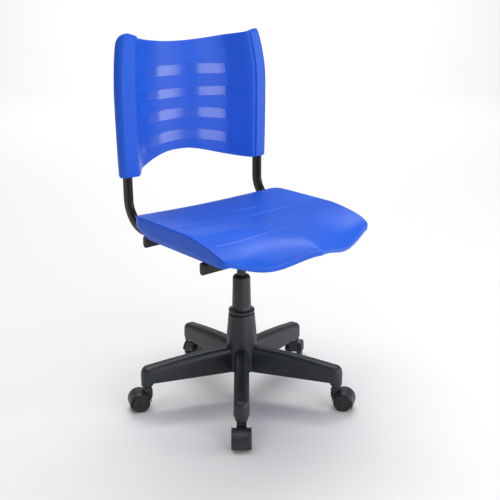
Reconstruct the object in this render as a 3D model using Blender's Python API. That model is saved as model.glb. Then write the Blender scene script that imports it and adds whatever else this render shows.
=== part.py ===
"""Swivel office chair: plastic seat and back on oval tubes, gas lift, five-arm base, twin-wheel casters.

Metres, +Z up. The origin is on the floor under the column axis, and the sitter faces -Y.
"""

import math

import bmesh
import bpy
from mathutils import Matrix, Vector

# ---------------------------------------------------------------- driving sizes
GAP = 0.0003                    # clearance between pieces that touch
SIDES = 16                      # facets round a turned piece

SEAT_HEIGHT = 0.498             # floor to the top of the seat's side edge
SEAT_WIDTH = 0.456
SEAT_REAR = 0.140               # middle of the rear edge, behind the column axis
SEAT_REAR_SETBACK = 0.009       # how far the rear corners lie ahead of the middle
REAR_DROP = 0.003               # how far the rear edge rolls down
SEAT_FRONT = 0.2785             # middle of the front edge, ahead of the column axis
SEAT_FRONT_SETBACK = 0.0645     # how far the front corners lie behind the middle
SEAT_WALL = 0.004
SEAT_DISH = 0.015
SEAT_SKIRT = 0.047              # seat level to the foot of the side skirts
SEAT_LIP = 0.011                # depth of the front and rear lips
FRONT_DROP = 0.0465             # how far the front edge rolls down
CORNER_LIFT = 0.0075            # how much less it rolls down at the front corners
THIGH_WAVE = 0.010              # half the height from the thigh hollows to the ridge between them

TUBE_WIDE = 0.030               # oval frame tube
BACK_WIDTH = 0.457
BACK_LOW = 0.080                # seat level to the back's lower corners
BACK_HEIGHT = 0.340             # lower corners to upper corners
BACK_TOP_DIP = 0.033            # middle of the top edge, under the corners
BACK_BOTTOM_ARCH = 0.032        # middle of the bottom edge, over the corners
BACK_HOLLOW = 0.074             # how far the middle lies behind the posts
BACK_WALL = 0.0045
BACK_CORNER = 0.022             # rounding of the upper corners
BACK_SCREW_Z = 0.135            # seat level to the screws into the posts
WING_WIDTH = 0.0385             # each pocket that takes a post
WING_DEPTH = TUBE_WIDE + 0.007  # each wing is a sleeve round an oval post
WING_STEP = 0.003               # a wing's face stands this far ahead of the panel beside it
WING_CREST = 0.35               # share of a wing's depth that is left along its top edge
BOWL_SHARE = 0.71               # share of the panel's half width that is the bowl's even curve
BACK_LEAN = 0.011               # how far the top edge leans back over the posts

TUBE_NARROW = 0.016
TUBE_WALL = 0.0015
RAIL_X = 0.206                  # side frame, from the middle of the chair
RAIL_DROP = 0.037               # seat level to the middle of the rail
RAIL_FRONT = 0.158
POST_Y = 0.181
POST_TOP = 0.298                # seat level to the top of the post
BEND_RADIUS = 0.063
CROSS_Y = 0.113                 # cross tubes, ahead of and behind the column
CROSS_HALF = 0.2045
FRONT_TUBE_DROP = 0.009         # the front cross tube stands lower, on short saddles

PLATE_WIDTH = 0.150
PLATE_WALL = 0.003
PLATE_FLANGE = 0.016
SOCKET_LENGTH = 0.034
SOCKET_RADIUS = 0.018
ROD_EXPOSED = 0.0467            # gas-lift cylinder showing between socket and column

CYLINDER_RADIUS = 0.0118        # gas lift
CYLINDER_WALL = 0.0020
PISTON_ROD_RADIUS = 0.005
COLUMN_RADIUS = 0.0200
COLUMN_WALL = 0.0018
COVER_WALL = 0.0018
COVER_SKIRT_RADIUS = 0.033
COVER_SKIRT = 0.019
BUSH_LENGTH = 0.085
LIFT_DOWN = 0.040               # travel below the rest height
LIFT_UP = 0.060                 # travel above it

HUB_TOP = 0.230
HUB_TOP_RADIUS = 0.033
HUB_FOOT_RADIUS = 0.0392
ARM_COUNT = 5
ARM_HEADING = math.radians(40.0)
ARM_UNDERSIDE = 0.0735
ARM_REACH = 0.264
ARM_WIDTH = 0.038
ARM_CREST = 0.022               # width of the arm's top face
ARM_ROOT_HEIGHT = 0.0655
ARM_END_HEIGHT = 0.0375
ARM_WALL = 0.004

CASTER_REACH = 0.249            # column axis to a caster's stem
CASTER_TRAIL = 0.021
CASTER_TURN = (0.0, 0.0, 24.0, -66.0, 0.0)     # degrees each caster is swivelled from pointing outwards
CASTER_WIDTH = 0.047
WHEEL_RADIUS = 0.0240
WHEEL_WIDTH = 0.0135
FENDER_GAP = 0.0012
FENDER_WALL = 0.0023
STEM_RADIUS = 0.0050
STEM_IN_ARM = 0.027
STEM_BOSS = 0.009               # how far the round boss stands out under an arm
STEM_BOSS_RADIUS = 0.0155
NECK_GAP = 0.005                # stem collar showing between boss and hood
AXLE_RADIUS = 0.0030

LEVER_ARM = 0.030               # pivot to the valve pin
LEVER_REACH = 0.160             # column axis to the grip's end
LEVER_RADIUS = 0.0040
SCREW_RADIUS = 0.0025

# ---------------------------------------------------------------- derived levels
RAIL_Z = -RAIL_DROP                                             # from seat level
CROSS_Z = RAIL_Z - TUBE_WIDE / 2 - GAP - TUBE_WIDE / 2           # rear cross tube
FRONT_CROSS_Z = CROSS_Z - FRONT_TUBE_DROP
PLATE_TOP = FRONT_CROSS_Z - TUBE_WIDE / 2 - GAP
SOCKET_TOP = PLATE_TOP + 0.003
SOCKET_FOOT = SOCKET_TOP - SOCKET_LENGTH
CYLINDER_TOP = SOCKET_TOP + 0.004
LEVER_Z = CYLINDER_TOP + 0.0105
COVER_TOP = SEAT_HEIGHT + SOCKET_FOOT - ROD_EXPOSED             # from the floor
COLUMN_TOP = COVER_TOP - COVER_WALL - GAP
COLUMN_FOOT = ARM_UNDERSIDE + 0.004
BEARING_FOOT = COLUMN_FOOT + 0.0035
BEARING_TOP = BEARING_FOOT + 0.008
BUFFER_TOP = BEARING_TOP + 0.016
CYLINDER_FOOT = BUFFER_TOP + LIFT_DOWN + 0.006
PISTON_Z = CYLINDER_FOOT + LIFT_UP + 0.050
AXLE_Z = WHEEL_RADIUS * math.cos(math.pi / SIDES)
BOSS_FOOT = ARM_UNDERSIDE - STEM_BOSS
HOOD_TOP = BOSS_FOOT - NECK_GAP


# ---------------------------------------------------------------- tools
def clear_scene():
    for item in list(bpy.data.objects):
        bpy.data.objects.remove(item, do_unlink=True)


def finish_material(name, colour, roughness, metallic=0.0):
    material = bpy.data.materials.new(name)
    material.use_nodes = True
    shader = material.node_tree.nodes["Principled BSDF"]
    shader.inputs["Base Color"].default_value = (*colour, 1.0)
    shader.inputs["Roughness"].default_value = roughness
    shader.inputs["Metallic"].default_value = metallic
    return material


def empty(name, location=(0, 0, 0), heading=0.0, parent=None):
    item = bpy.data.objects.new(name, None)
    item.location = location
    item.rotation_euler = (0.0, 0.0, heading)
    item.parent = parent
    bpy.context.collection.objects.link(item)
    return item


def solid(name, verts, faces, material=None, parent=None, location=(0, 0, 0)):
    """One mesh object with its faces pointing outwards, shaded smooth."""
    mesh = bpy.data.meshes.new(name)
    shape = bmesh.new()
    points = [shape.verts.new(v) for v in verts]
    for face in faces:
        shape.faces.new([points[i] for i in face])
    bmesh.ops.recalc_face_normals(shape, faces=shape.faces)
    shape.to_mesh(mesh)
    shape.free()
    mesh.shade_smooth()
    mesh.set_sharp_from_angle(angle=math.radians(35))
    if material:
        mesh.materials.append(material)
    item = bpy.data.objects.new(name, mesh)
    item.location = location
    item.parent = parent
    bpy.context.collection.objects.link(item)
    return item


def tool(item):
    """Mark an object as a cutter or a lump to be joined, not a piece."""
    item.hide_render = True
    item.display_type = "WIRE"
    return item


def boolean(item, other, operation="DIFFERENCE"):
    modifier = item.modifiers.new(other.name, "BOOLEAN")
    modifier.operation = operation
    modifier.object = other


def lathe(profile, sides=SIDES, phase=0.0):
    """Turn a closed (radius, height) outline about Z. Points on the axis become poles."""
    verts = []
    rings = []
    for radius, height in profile:
        if radius < 1e-7:
            rings.append([len(verts)] * sides)
            verts.append((0.0, 0.0, height))
            continue
        rings.append(list(range(len(verts), len(verts) + sides)))
        for i in range(sides):
            angle = phase + 2 * math.pi * i / sides
            verts.append((radius * math.cos(angle), radius * math.sin(angle), height))
    faces = []
    for low, high in zip(rings, rings[1:] + rings[:1]):
        for i in range(sides):
            j = (i + 1) % sides
            face = list(dict.fromkeys([low[i], low[j], high[j], high[i]]))
            if len(face) > 2:
                faces.append(face)
    return verts, faces


def loft(rings, capped=True):
    """Join rings of equal length into one skin, with a cap at each end."""
    count = len(rings[0])
    verts = [v for ring in rings for v in ring]
    faces = []
    for k in range(len(rings) - 1):
        for i in range(count):
            j = (i + 1) % count
            faces.append([k * count + i, k * count + j, (k + 1) * count + j, (k + 1) * count + i])
    if capped:
        last = (len(rings) - 1) * count
        faces.append(list(range(count)))
        faces.append(list(range(last, last + count)))
    return verts, faces


def hollow_loft(outer, inner):
    """A tube with open ends: an outer and an inner skin, joined round each mouth."""
    count = len(outer[0])
    verts, faces = loft(outer, capped=False)
    more, inner_faces = loft(inner, capped=False)
    start = len(verts)
    verts = verts + more
    faces = faces + [[start + i for i in face] for face in inner_faces]
    for ring in (0, len(outer) - 1):
        for i in range(count):
            j = (i + 1) % count
            base = ring * count
            faces.append([base + i, base + j, start + base + j, start + base + i])
    return verts, faces


def rod(name, radius, length, axis, centre, sides=16, **kwargs):
    """A plain round bar along a world axis, centred on a point."""
    verts, faces = lathe([(0, -length / 2), (radius, -length / 2), (radius, length / 2), (0, length / 2)],
                         sides)
    turn = Vector((0, 0, 1)).rotation_difference(Vector(axis)).to_matrix()
    return solid(name, [turn @ Vector(v) for v in verts], faces, location=centre, **kwargs)


def oval(wide, narrow, points=12):
    """Outline of a flat-sided oval: straight sides with half-round ends."""
    flat = (wide - narrow) / 2
    half = points // 2
    outline = []
    for side in (1, -1):
        for i in range(half):
            angle = math.pi * i / (half - 1) - math.pi / 2
            outline.append((side * (flat + narrow / 2 * math.cos(angle)),
                            side * narrow / 2 * math.sin(angle)))
    return outline


def oval_prism(wide, narrow, start, end, wide_axis, material=None, name="prism", parent=None, wall=0.0):
    """An oval bar or tube between two points, with its wide side along a given axis."""
    start = Vector(start)
    end = Vector(end)
    across = Vector(wide_axis)
    thin = (end - start).normalized().cross(across)

    def rings(width, depth):
        outline = oval(width, depth)
        return [[point + across * a + thin * b for a, b in outline] for point in (start, end)]

    outer = rings(wide, narrow)
    if wall:
        verts, faces = hollow_loft(outer, rings(wide - 2 * wall, narrow - 2 * wall))
    else:
        verts, faces = loft(outer)
    return solid(name, verts, faces, material, parent)


def smooth_step(value):
    value = min(max(value, 0.0), 1.0)
    return value * value * (3 - 2 * value)


# ---------------------------------------------------------------- seat
def seat_half_width(along):
    """Half width of the seat at a share of its length, 0 at the rear and 1 at the front."""
    rear_corner = 0.030 * max(0.0, 1 - along / 0.07) ** 2
    front_corner = 0.012 * max(0.0, (along - 0.90) / 0.10) ** 2
    return SEAT_WIDTH / 2 * (1 - rear_corner - front_corner)


def front_roll(along):
    """Share of the front edge's drop that is reached at a share of the length."""
    past = max(0.0, (along - 0.60) / 0.40)
    return 0.75 * past ** 1.6 + 0.25 * past ** 8


def seat_point(across, along):
    """A point of the seat's top face, from seat level. across runs from -1 to 1."""
    side = abs(across)
    rear = SEAT_REAR - SEAT_REAR_SETBACK * side ** 3
    front = SEAT_FRONT - SEAT_FRONT_SETBACK * side ** 1.05
    y = rear - along * (rear + front)
    dish = SEAT_DISH * (1 - side ** 2.2) * (0.35 + 0.65 * math.sin(math.pi * min(1.0, along * 1.1 + 0.06)))
    front_edge = -FRONT_DROP + THIGH_WAVE * math.cos(2 * math.pi * 0.93 * across) + CORNER_LIFT * side ** 6
    rear_edge = REAR_DROP * max(0.0, 1 - along / 0.15) ** 2
    roll = front_roll(along)
    return Vector((across * seat_half_width(along), y, roll * front_edge - (1 - roll) * dish - rear_edge))


def skirt_depth(across, along):
    """Depth of the turned-down rim below the top face."""
    on_side = smooth_step((abs(across) - 0.945) / 0.05)
    rear_share = 0.58 + 0.42 * smooth_step(along / 0.20)
    side = SEAT_SKIRT * rear_share + seat_point(across, along).z
    return SEAT_LIP + on_side * max(0.0, side - SEAT_LIP)


def make_seat_shell(material, parent):
    columns = 15
    rows = 13
    grid = []
    for j in range(rows):
        for i in range(columns):
            across = -math.cos(math.pi * i / (columns - 1))
            across = 0.8 * across + 0.2 * (2 * i / (columns - 1) - 1)
            grid.append((across, j / (rows - 1)))
    verts = [seat_point(a, t) for a, t in grid]
    faces = []
    for j in range(rows - 1):
        for i in range(columns - 1):
            corner = j * columns + i
            faces.append([corner, corner + columns, corner + columns + 1, corner + 1])
    rim = [i for i in range(columns)]
    rim += [j * columns + columns - 1 for j in range(1, rows)]
    rim += [(rows - 1) * columns + i for i in range(columns - 2, -1, -1)]
    rim += [j * columns for j in range(rows - 2, 0, -1)]
    centre = Vector((0, (SEAT_REAR - SEAT_FRONT) / 2, 0))
    edge_round = 0.0035
    previous = rim
    for step in range(2):
        ring = []
        for index in rim:
            across, along = grid[index]
            point = verts[index]
            outward = Vector((point.x - centre.x, point.y - centre.y, 0)).normalized()
            if abs(across) > 0.98:
                outward = Vector((math.copysign(1, across), 0.0, 0.0))
            elif along in (0.0, 1.0):
                outward = Vector((0.0, 1.0 if along == 0.0 else -1.0, 0.0))
            drop = edge_round if step == 0 else skirt_depth(across, along)
            reach = 0.0 if step == 0 else -0.001
            ring.append(len(verts))
            verts.append(point + outward * reach - Vector((0, 0, drop)))
        count = len(rim)
        for i in range(count):
            j = (i + 1) % count
            faces.append([previous[i], previous[j], ring[j], ring[i]])
        previous = ring
    mesh_item = solid("seat_shell", verts, faces, material, parent)
    if mesh_item.data.polygons[0].normal.z < 0:
        mesh_item.data.flip_normals()
    wall = mesh_item.modifiers.new("wall", "SOLIDIFY")
    wall.thickness = SEAT_WALL
    wall.offset = -1
    wall.use_even_offset = True
    mesh_item.modifiers.new("facets", "TRIANGULATE")
    return mesh_item


def seat_screw_places():
    """The four screws through the rails, as (x, y)."""
    return [(side * RAIL_X, y) for side in (-1, 1) for y in (0.062, -0.136)]


def surface_height(x, y):
    """Height of the seat's top face over a point, by bisection along the seat."""
    low, high = 0.0, 1.0
    for _ in range(40):
        along = (low + high) / 2
        point = seat_point(x / seat_half_width(along), along)
        if point.y > y:
            low = along
        else:
            high = along
    return point.z


def add_seat_bosses(shell, screws_material, parent):
    """Bosses under the shell that stand on the rails and take the seat screws."""
    rail_top = RAIL_Z + TUBE_WIDE / 2
    rail_foot = RAIL_Z - TUBE_WIDE / 2
    for index, (x, y) in enumerate(seat_screw_places()):
        top = surface_height(x, y) - SEAT_WALL / 2
        foot = rail_top + GAP
        boss = tool(rod(f"boss_{index}", 0.0070, top - foot, (0, 0, 1), (x, y, (top + foot) / 2),
                        parent=parent))
        boolean(shell, boss, "UNION")
        bore = tool(rod(f"boss_bore_{index}", SCREW_RADIUS + GAP, 0.016, (0, 0, 1), (x, y, foot),
                        parent=parent))
        boolean(shell, bore)
        head = 0.0028
        tip = rail_top + 0.0070
        seat = rail_foot - GAP
        profile = [(0, seat - head), (0.0035, seat - head), (0.0048, seat - 0.0010), (0.0048, seat),
                   (SCREW_RADIUS, seat), (SCREW_RADIUS, tip - 0.002), (0.0012, tip), (0, tip)]
        verts, faces = lathe(profile, 12)
        solid(f"seat_screw_{index + 1}", verts, faces, screws_material, parent, (x, y, 0))


# ---------------------------------------------------------------- frame
def side_frame_path():
    """Centre line of a side frame in the (y, z) plane, with the direction of the tube's wide side."""
    path = [(-RAIL_FRONT, RAIL_Z, 0.0, 1.0)]
    centre_y = POST_Y - BEND_RADIUS
    centre_z = RAIL_Z + BEND_RADIUS
    steps = 5
    for i in range(steps + 1):
        angle = -math.pi / 2 + math.pi / 2 * i / steps
        path.append((centre_y + BEND_RADIUS * math.cos(angle), centre_z + BEND_RADIUS * math.sin(angle),
                     -math.cos(angle), -math.sin(angle)))
    path.append((POST_Y, POST_TOP, -1.0, 0.0))
    return path


def tube_rings(x, path, wide, narrow):
    outline = oval(wide, narrow)
    return [[(x + b, y + a * ny, z + a * nz) for a, b in outline] for y, z, ny, nz in path]


def make_side_frame(side, materials, parent):
    name = "left" if side > 0 else "right"
    path = side_frame_path()
    outer = tube_rings(side * RAIL_X, path, TUBE_WIDE, TUBE_NARROW)
    inner = tube_rings(side * RAIL_X, path, TUBE_WIDE - 2 * TUBE_WALL, TUBE_NARROW - 2 * TUBE_WALL)
    verts, faces = hollow_loft(outer, inner)
    frame = solid(f"side_frame_{name}", verts, faces, materials["paint"], parent)
    for index, (x, y) in enumerate(seat_screw_places()):
        if x * side > 0:
            bore = rod(f"rail_bore_{index}", SCREW_RADIUS + GAP, 2 * TUBE_WIDE, (0, 0, 1), (x, y, RAIL_Z),
                       parent=parent)
            boolean(frame, tool(bore))
    bore = rod(f"post_bore_{name}", SCREW_RADIUS + GAP, 0.010, (0, 1, 0),
               (side * RAIL_X, POST_Y + TUBE_WIDE / 2, BACK_SCREW_Z), parent=parent)
    boolean(frame, tool(bore))
    make_plug(f"rail_plug_{name}", (side * RAIL_X, -RAIL_FRONT, RAIL_Z), (0, -1, 0), (0, 0, 1),
              materials["plug"], parent)


def make_plug(name, mouth, outward, wide_axis, material, parent):
    """A domed plastic plug: a shank inside the tube and a head that covers its mouth."""
    mouth = Vector(mouth)
    outward = Vector(outward)
    across = Vector(wide_axis)
    thin = outward.cross(across)
    inset = 2 * (TUBE_WALL + GAP)
    stations = [(-0.012, inset + 0.001), (GAP, inset), (GAP, 0.0), (0.0022, 0.0), (0.0042, 0.004)]
    rings = []
    for depth, less in stations:
        outline = oval(TUBE_WIDE - less, TUBE_NARROW - less)
        rings.append([mouth + outward * depth + across * a + thin * b for a, b in outline])
    verts, faces = loft(rings)
    solid(name, verts, faces, material, parent)


def make_cross_tubes(materials, parent):
    for name, y, z in (("front", -CROSS_Y, FRONT_CROSS_Z), ("rear", CROSS_Y, CROSS_Z)):
        tube = oval_prism(TUBE_WIDE, TUBE_NARROW, (-CROSS_HALF, y, z), (CROSS_HALF, y, z), (0, 0, 1),
                          materials["paint"], f"cross_tube_{name}", parent, TUBE_WALL)
        for side, label in ((1, "left"), (-1, "right")):
            make_plug(f"{name}_tube_plug_{label}", (side * CROSS_HALF, y, z), (side, 0, 0), (0, 0, 1),
                      materials["plug"], parent)
            boolean(tube, tool(make_saddle(name, side, y, z, parent)), "UNION")


def make_saddle(name, side, y, z, parent):
    """The block that lifts a tube: under the rails at the front, on the plate at the rear."""
    if name == "front":
        low = z + TUBE_WIDE / 2 - 0.8 * TUBE_WALL
        high = RAIL_Z - TUBE_WIDE / 2 - GAP
        x = side * (RAIL_X - 0.0135)
    else:
        low = PLATE_TOP + GAP
        high = z - TUBE_WIDE / 2 + 0.8 * TUBE_WALL
        x = side * PLATE_WIDTH * 0.36
    half = 0.0035
    outline = [(x - 0.011, -half), (x + 0.011, -half), (x + 0.011, half), (x - 0.011, half)]
    verts, faces = loft([[(px, y + py, pz) for px, py in outline] for pz in (low, high)])
    return solid(f"saddle_{name}_{side}", verts, faces, parent=parent)


# ---------------------------------------------------------------- back
def back_columns():
    """Stations across the back, from one edge to the other."""
    half = BACK_WIDTH / 2
    inner = half - WING_WIDTH
    panel = [inner * share for share in (0.0, 0.18, 0.36, 0.54, 0.71, 0.77, 0.83, 0.89, 0.95)]
    wing = [inner + WING_WIDTH * share for share in (0.0, 0.06, 0.20, 0.60, 0.76, 0.90, 1.0)]
    positive = panel + wing
    return [-x for x in reversed(positive[1:])] + positive


def back_outline(x):
    """Lower and upper edge of the back at x, from seat level, with rounded upper corners."""
    share = min(1.0, abs(x) / (BACK_WIDTH / 2))
    low = BACK_LOW + BACK_BOTTOM_ARCH * (1 - smooth_step((share - 0.05) / 0.78))
    high = BACK_LOW + BACK_HEIGHT - BACK_TOP_DIP * (1 - share ** 2.0)
    past = abs(x) - (BACK_WIDTH / 2 - BACK_CORNER)
    if past > 0:
        high -= BACK_CORNER - math.sqrt(max(0.0, BACK_CORNER ** 2 - past ** 2))
    return low, high


def side_taper(z):
    """The sides bow outwards a little at mid-height and draw in towards the top."""
    widest = BACK_LOW + 0.53 * BACK_HEIGHT
    above = max(0.0, (z - widest) / (0.47 * BACK_HEIGHT))
    below = max(0.0, (widest - z) / (0.53 * BACK_HEIGHT))
    return 1 - 0.098 * above ** 2.2 - 0.012 * below ** 2


def lean(z):
    """How far the back has moved rearwards at a height."""
    start = POST_TOP + 0.004
    return BACK_LEAN * max(0.0, (z - start) / (BACK_LOW + BACK_HEIGHT - start)) ** 1.5


def wing_half_depth(x):
    """Half the thickness of a wing at x, rounded off towards both of its sides."""
    outer = min(max(0.0, 1 - (BACK_WIDTH / 2 - abs(x)) / 0.016), 1.0)
    inner = min(max(0.0, 1 - (abs(x) - BACK_WIDTH / 2 + WING_WIDTH) / 0.009), 1.0)
    return WING_DEPTH / 2 * math.sqrt((1 - outer ** 2.4) * (1 - inner ** 2.4))


def back_front_face(x):
    """Front face of the back, as y: a deep bowl, steep beside the wings, and a small step up to each wing."""
    inner = BACK_WIDTH / 2 - WING_WIDTH
    share = abs(x) / inner
    if share >= 1:
        outer = min(max(0.0, 1 - (BACK_WIDTH / 2 - abs(x)) / 0.016), 1.0)
        return POST_Y - WING_DEPTH / 2 * math.sqrt(1 - outer ** 2.4)
    bowl = BACK_HOLLOW * (1 - min(share, BOWL_SHARE) ** 2.3)
    if share <= BOWL_SHARE:
        return POST_Y + bowl
    run = 1 - BOWL_SHARE
    past = (share - BOWL_SHARE) / run
    slope = -2.3 * BACK_HOLLOW * BOWL_SHARE ** 1.3 * run
    edge = WING_STEP - WING_DEPTH / 2
    rise = past * past * (3 - 2 * past)
    return POST_Y + bowl * (1 - rise) + edge * rise + slope * past * (1 - past) ** 2


def back_rear_face(x):
    """Rear face of the back: a thin panel, and a pocket over each post."""
    panel = back_front_face(x) + BACK_WALL
    if abs(x) < BACK_WIDTH / 2 - WING_WIDTH:
        return panel
    if abs(x) < BACK_WIDTH / 2 - WING_WIDTH / 2:
        return max(POST_Y + BACK_WALL, POST_Y + wing_half_depth(x))
    return max(POST_Y + wing_half_depth(x), back_front_face(x) + 0.0008)


def make_backrest(materials, parent):
    xs = back_columns()
    shares = [0.093 * j for j in range(11)] + [1.0]
    rows = len(shares)
    columns = len(xs)
    front = []
    rear = []
    for share in shares:
        for x in xs:
            low, high = back_outline(x)
            z = low + share * (high - low)
            face = back_front_face(x)
            depth = back_rear_face(x) - face
            if share == 1.0:
                depth = min(depth, max(BACK_WALL, WING_CREST * depth))
            front.append((x * side_taper(z), face + lean(z), z))
            rear.append((x * side_taper(z), face + depth + lean(z), z))
    verts = front + rear
    offset = len(front)
    faces = []
    for j in range(rows - 1):
        for i in range(columns - 1):
            corner = j * columns + i
            quad = [corner, corner + 1, corner + columns + 1, corner + columns]
            faces.append(quad)
            faces.append([offset + k for k in reversed(quad)])
    rim = list(range(columns))
    rim += [j * columns + columns - 1 for j in range(1, rows)]
    rim += [(rows - 1) * columns + i for i in range(columns - 2, -1, -1)]
    rim += [j * columns for j in range(rows - 2, 0, -1)]
    count = len(rim)
    for i in range(count):
        j = (i + 1) % count
        faces.append([rim[i], rim[j], offset + rim[j], offset + rim[i]])
    back = solid("backrest_shell", verts, faces, materials["plastic"], parent)
    for side, label in ((1, "left"), (-1, "right")):
        clearance = 2 * 0.0006
        pocket = oval_prism(TUBE_WIDE + clearance, TUBE_NARROW + clearance, (side * RAIL_X, POST_Y,
                                                                             BACK_LOW - 0.03),
                            (side * RAIL_X, POST_Y, POST_TOP + 0.002), (0, 1, 0), name=f"pocket_{label}",
                            parent=parent)
        boolean(back, tool(pocket))
        make_back_screw(back, side, label, materials["screw"], parent)


def make_back_screw(back, side, label, material, parent):
    """A screw from behind, through the pocket's wall and into the post."""
    seat = POST_Y + WING_DEPTH / 2 - 0.0020
    place = Vector((side * RAIL_X, seat, BACK_SCREW_Z))
    recess = rod(f"back_recess_{label}", 0.0056, 0.020, (0, 1, 0), place + Vector((0, 0.010 - GAP, 0)),
                 parent=parent)
    boolean(back, tool(recess))
    bore = rod(f"back_bore_{label}", SCREW_RADIUS + GAP, 0.016, (0, 1, 0), place, parent=parent)
    boolean(back, tool(bore))
    profile = [(0, 0.0028), (0.0034, 0.0028), (0.0046, 0.0012), (0.0046, 0.0), (SCREW_RADIUS, 0.0),
               (SCREW_RADIUS, -0.008), (0.0012, -0.010), (0, -0.010)]
    verts, faces = lathe(profile, 12)
    turn = Matrix.Rotation(-math.pi / 2, 3, "X")
    solid(f"back_screw_{label}", [turn @ Vector(v) for v in verts], faces, material, parent, place)


# ---------------------------------------------------------------- mechanism and lever
def make_mechanism(materials, parent):
    half = PLATE_WIDTH / 2
    reach = CROSS_Y + TUBE_NARROW / 2 + 0.004
    top = PLATE_TOP
    low = PLATE_TOP - PLATE_FLANGE
    outline = [(-half, low), (-half, top), (half, top), (half, low), (half - PLATE_WALL, low),
               (half - PLATE_WALL, top - PLATE_WALL), (-half + PLATE_WALL, top - PLATE_WALL),
               (-half + PLATE_WALL, low)]
    verts, faces = loft([[(x, y, z) for x, z in outline] for y in (-reach, reach)])
    plate = solid("mechanism_plate", verts, faces, materials["paint"], parent)
    hole = rod("socket_hole", SOCKET_RADIUS + GAP, 0.02, (0, 0, 1), (0, 0, PLATE_TOP), sides=SIDES,
               parent=parent)
    boolean(plate, tool(hole))
    bore = CYLINDER_RADIUS + GAP
    profile = [(bore, SOCKET_FOOT), (SOCKET_RADIUS - 0.002, SOCKET_FOOT), (SOCKET_RADIUS - 0.001,
                                                                           SOCKET_FOOT + 0.002),
               (SOCKET_RADIUS, SOCKET_TOP), (bore, SOCKET_TOP)]
    verts, faces = lathe(profile)
    solid("taper_socket", verts, faces, materials["paint"], parent)


def make_lever(materials, parent):
    """A bracket on the plate, its pin, the bar over the valve pin, and the grip."""
    pivot_x = -LEVER_ARM
    base = PLATE_TOP + GAP
    outer = LEVER_RADIUS + 0.0045
    inner = LEVER_RADIUS + 0.0020
    top = LEVER_Z + 0.0065
    outline = [(-outer, base), (outer, base), (outer, top), (inner, top), (inner, base + 0.0025),
               (-inner, base + 0.0025), (-inner, top), (-outer, top)]
    width = 0.009
    verts, faces = loft([[(pivot_x + x, y, z) for y, z in outline] for x in (-width, width)])
    bracket = solid("lever_bracket", verts, faces, materials["steel"], parent)
    hole = rod("bracket_hole", 0.0020 + GAP, 0.04, (0, 1, 0), (pivot_x, 0, LEVER_Z), sides=12, parent=parent)
    boolean(bracket, tool(hole))
    pivot = empty("lever_pivot", (pivot_x, 0, LEVER_Z), parent=parent)
    rod("lever_pin", 0.0020, 2 * outer + 0.003, (0, 1, 0), (0, 0, 0), sides=12, material=materials["steel"],
        parent=pivot)
    inner_end = LEVER_ARM + 0.0015
    bar_end = 0.120 - LEVER_ARM
    bar = rod("lever_bar", LEVER_RADIUS, inner_end + bar_end, (1, 0, 0), ((inner_end - bar_end) / 2, 0, 0),
              sides=12,
              material=materials["steel"], parent=pivot)
    eye = rod("lever_eye", 0.0020 + GAP, 0.03, (0, 1, 0), (0, 0, 0), sides=12, parent=pivot)
    boolean(bar, tool(eye))
    start = 0.078 - LEVER_ARM
    end = LEVER_REACH - LEVER_ARM
    stations = [(start, 0.0060), (start + 0.003, 0.0072), (start + 0.060, 0.0078), (end - 0.012, 0.0090),
                (end - 0.003, 0.0078), (end, 0.0045)]
    depth = bar_end - start + 0.002
    bore = LEVER_RADIUS + GAP
    profile = [(bore, start)] + [(r, s) for s, r in stations] + [(0, end), (0, start + depth),
                                                                 (bore, start + depth)]
    verts, faces = lathe(profile, 14)
    turn = Matrix.Rotation(-math.pi / 2, 3, "Y")
    solid("lever_grip", [turn @ Vector(v) for v in verts], faces, materials["plug"], pivot)
    pin_top = LEVER_Z - LEVER_RADIUS - 0.0005
    pin_foot = CYLINDER_TOP - 0.020
    profile = [(0, pin_foot), (0.0030, pin_foot), (0.0030, pin_top - 0.0008), (0.0022, pin_top), (0, pin_top)]
    verts, faces = lathe(profile, 12)
    solid("valve_pin", verts, faces, materials["steel"], parent)


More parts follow.
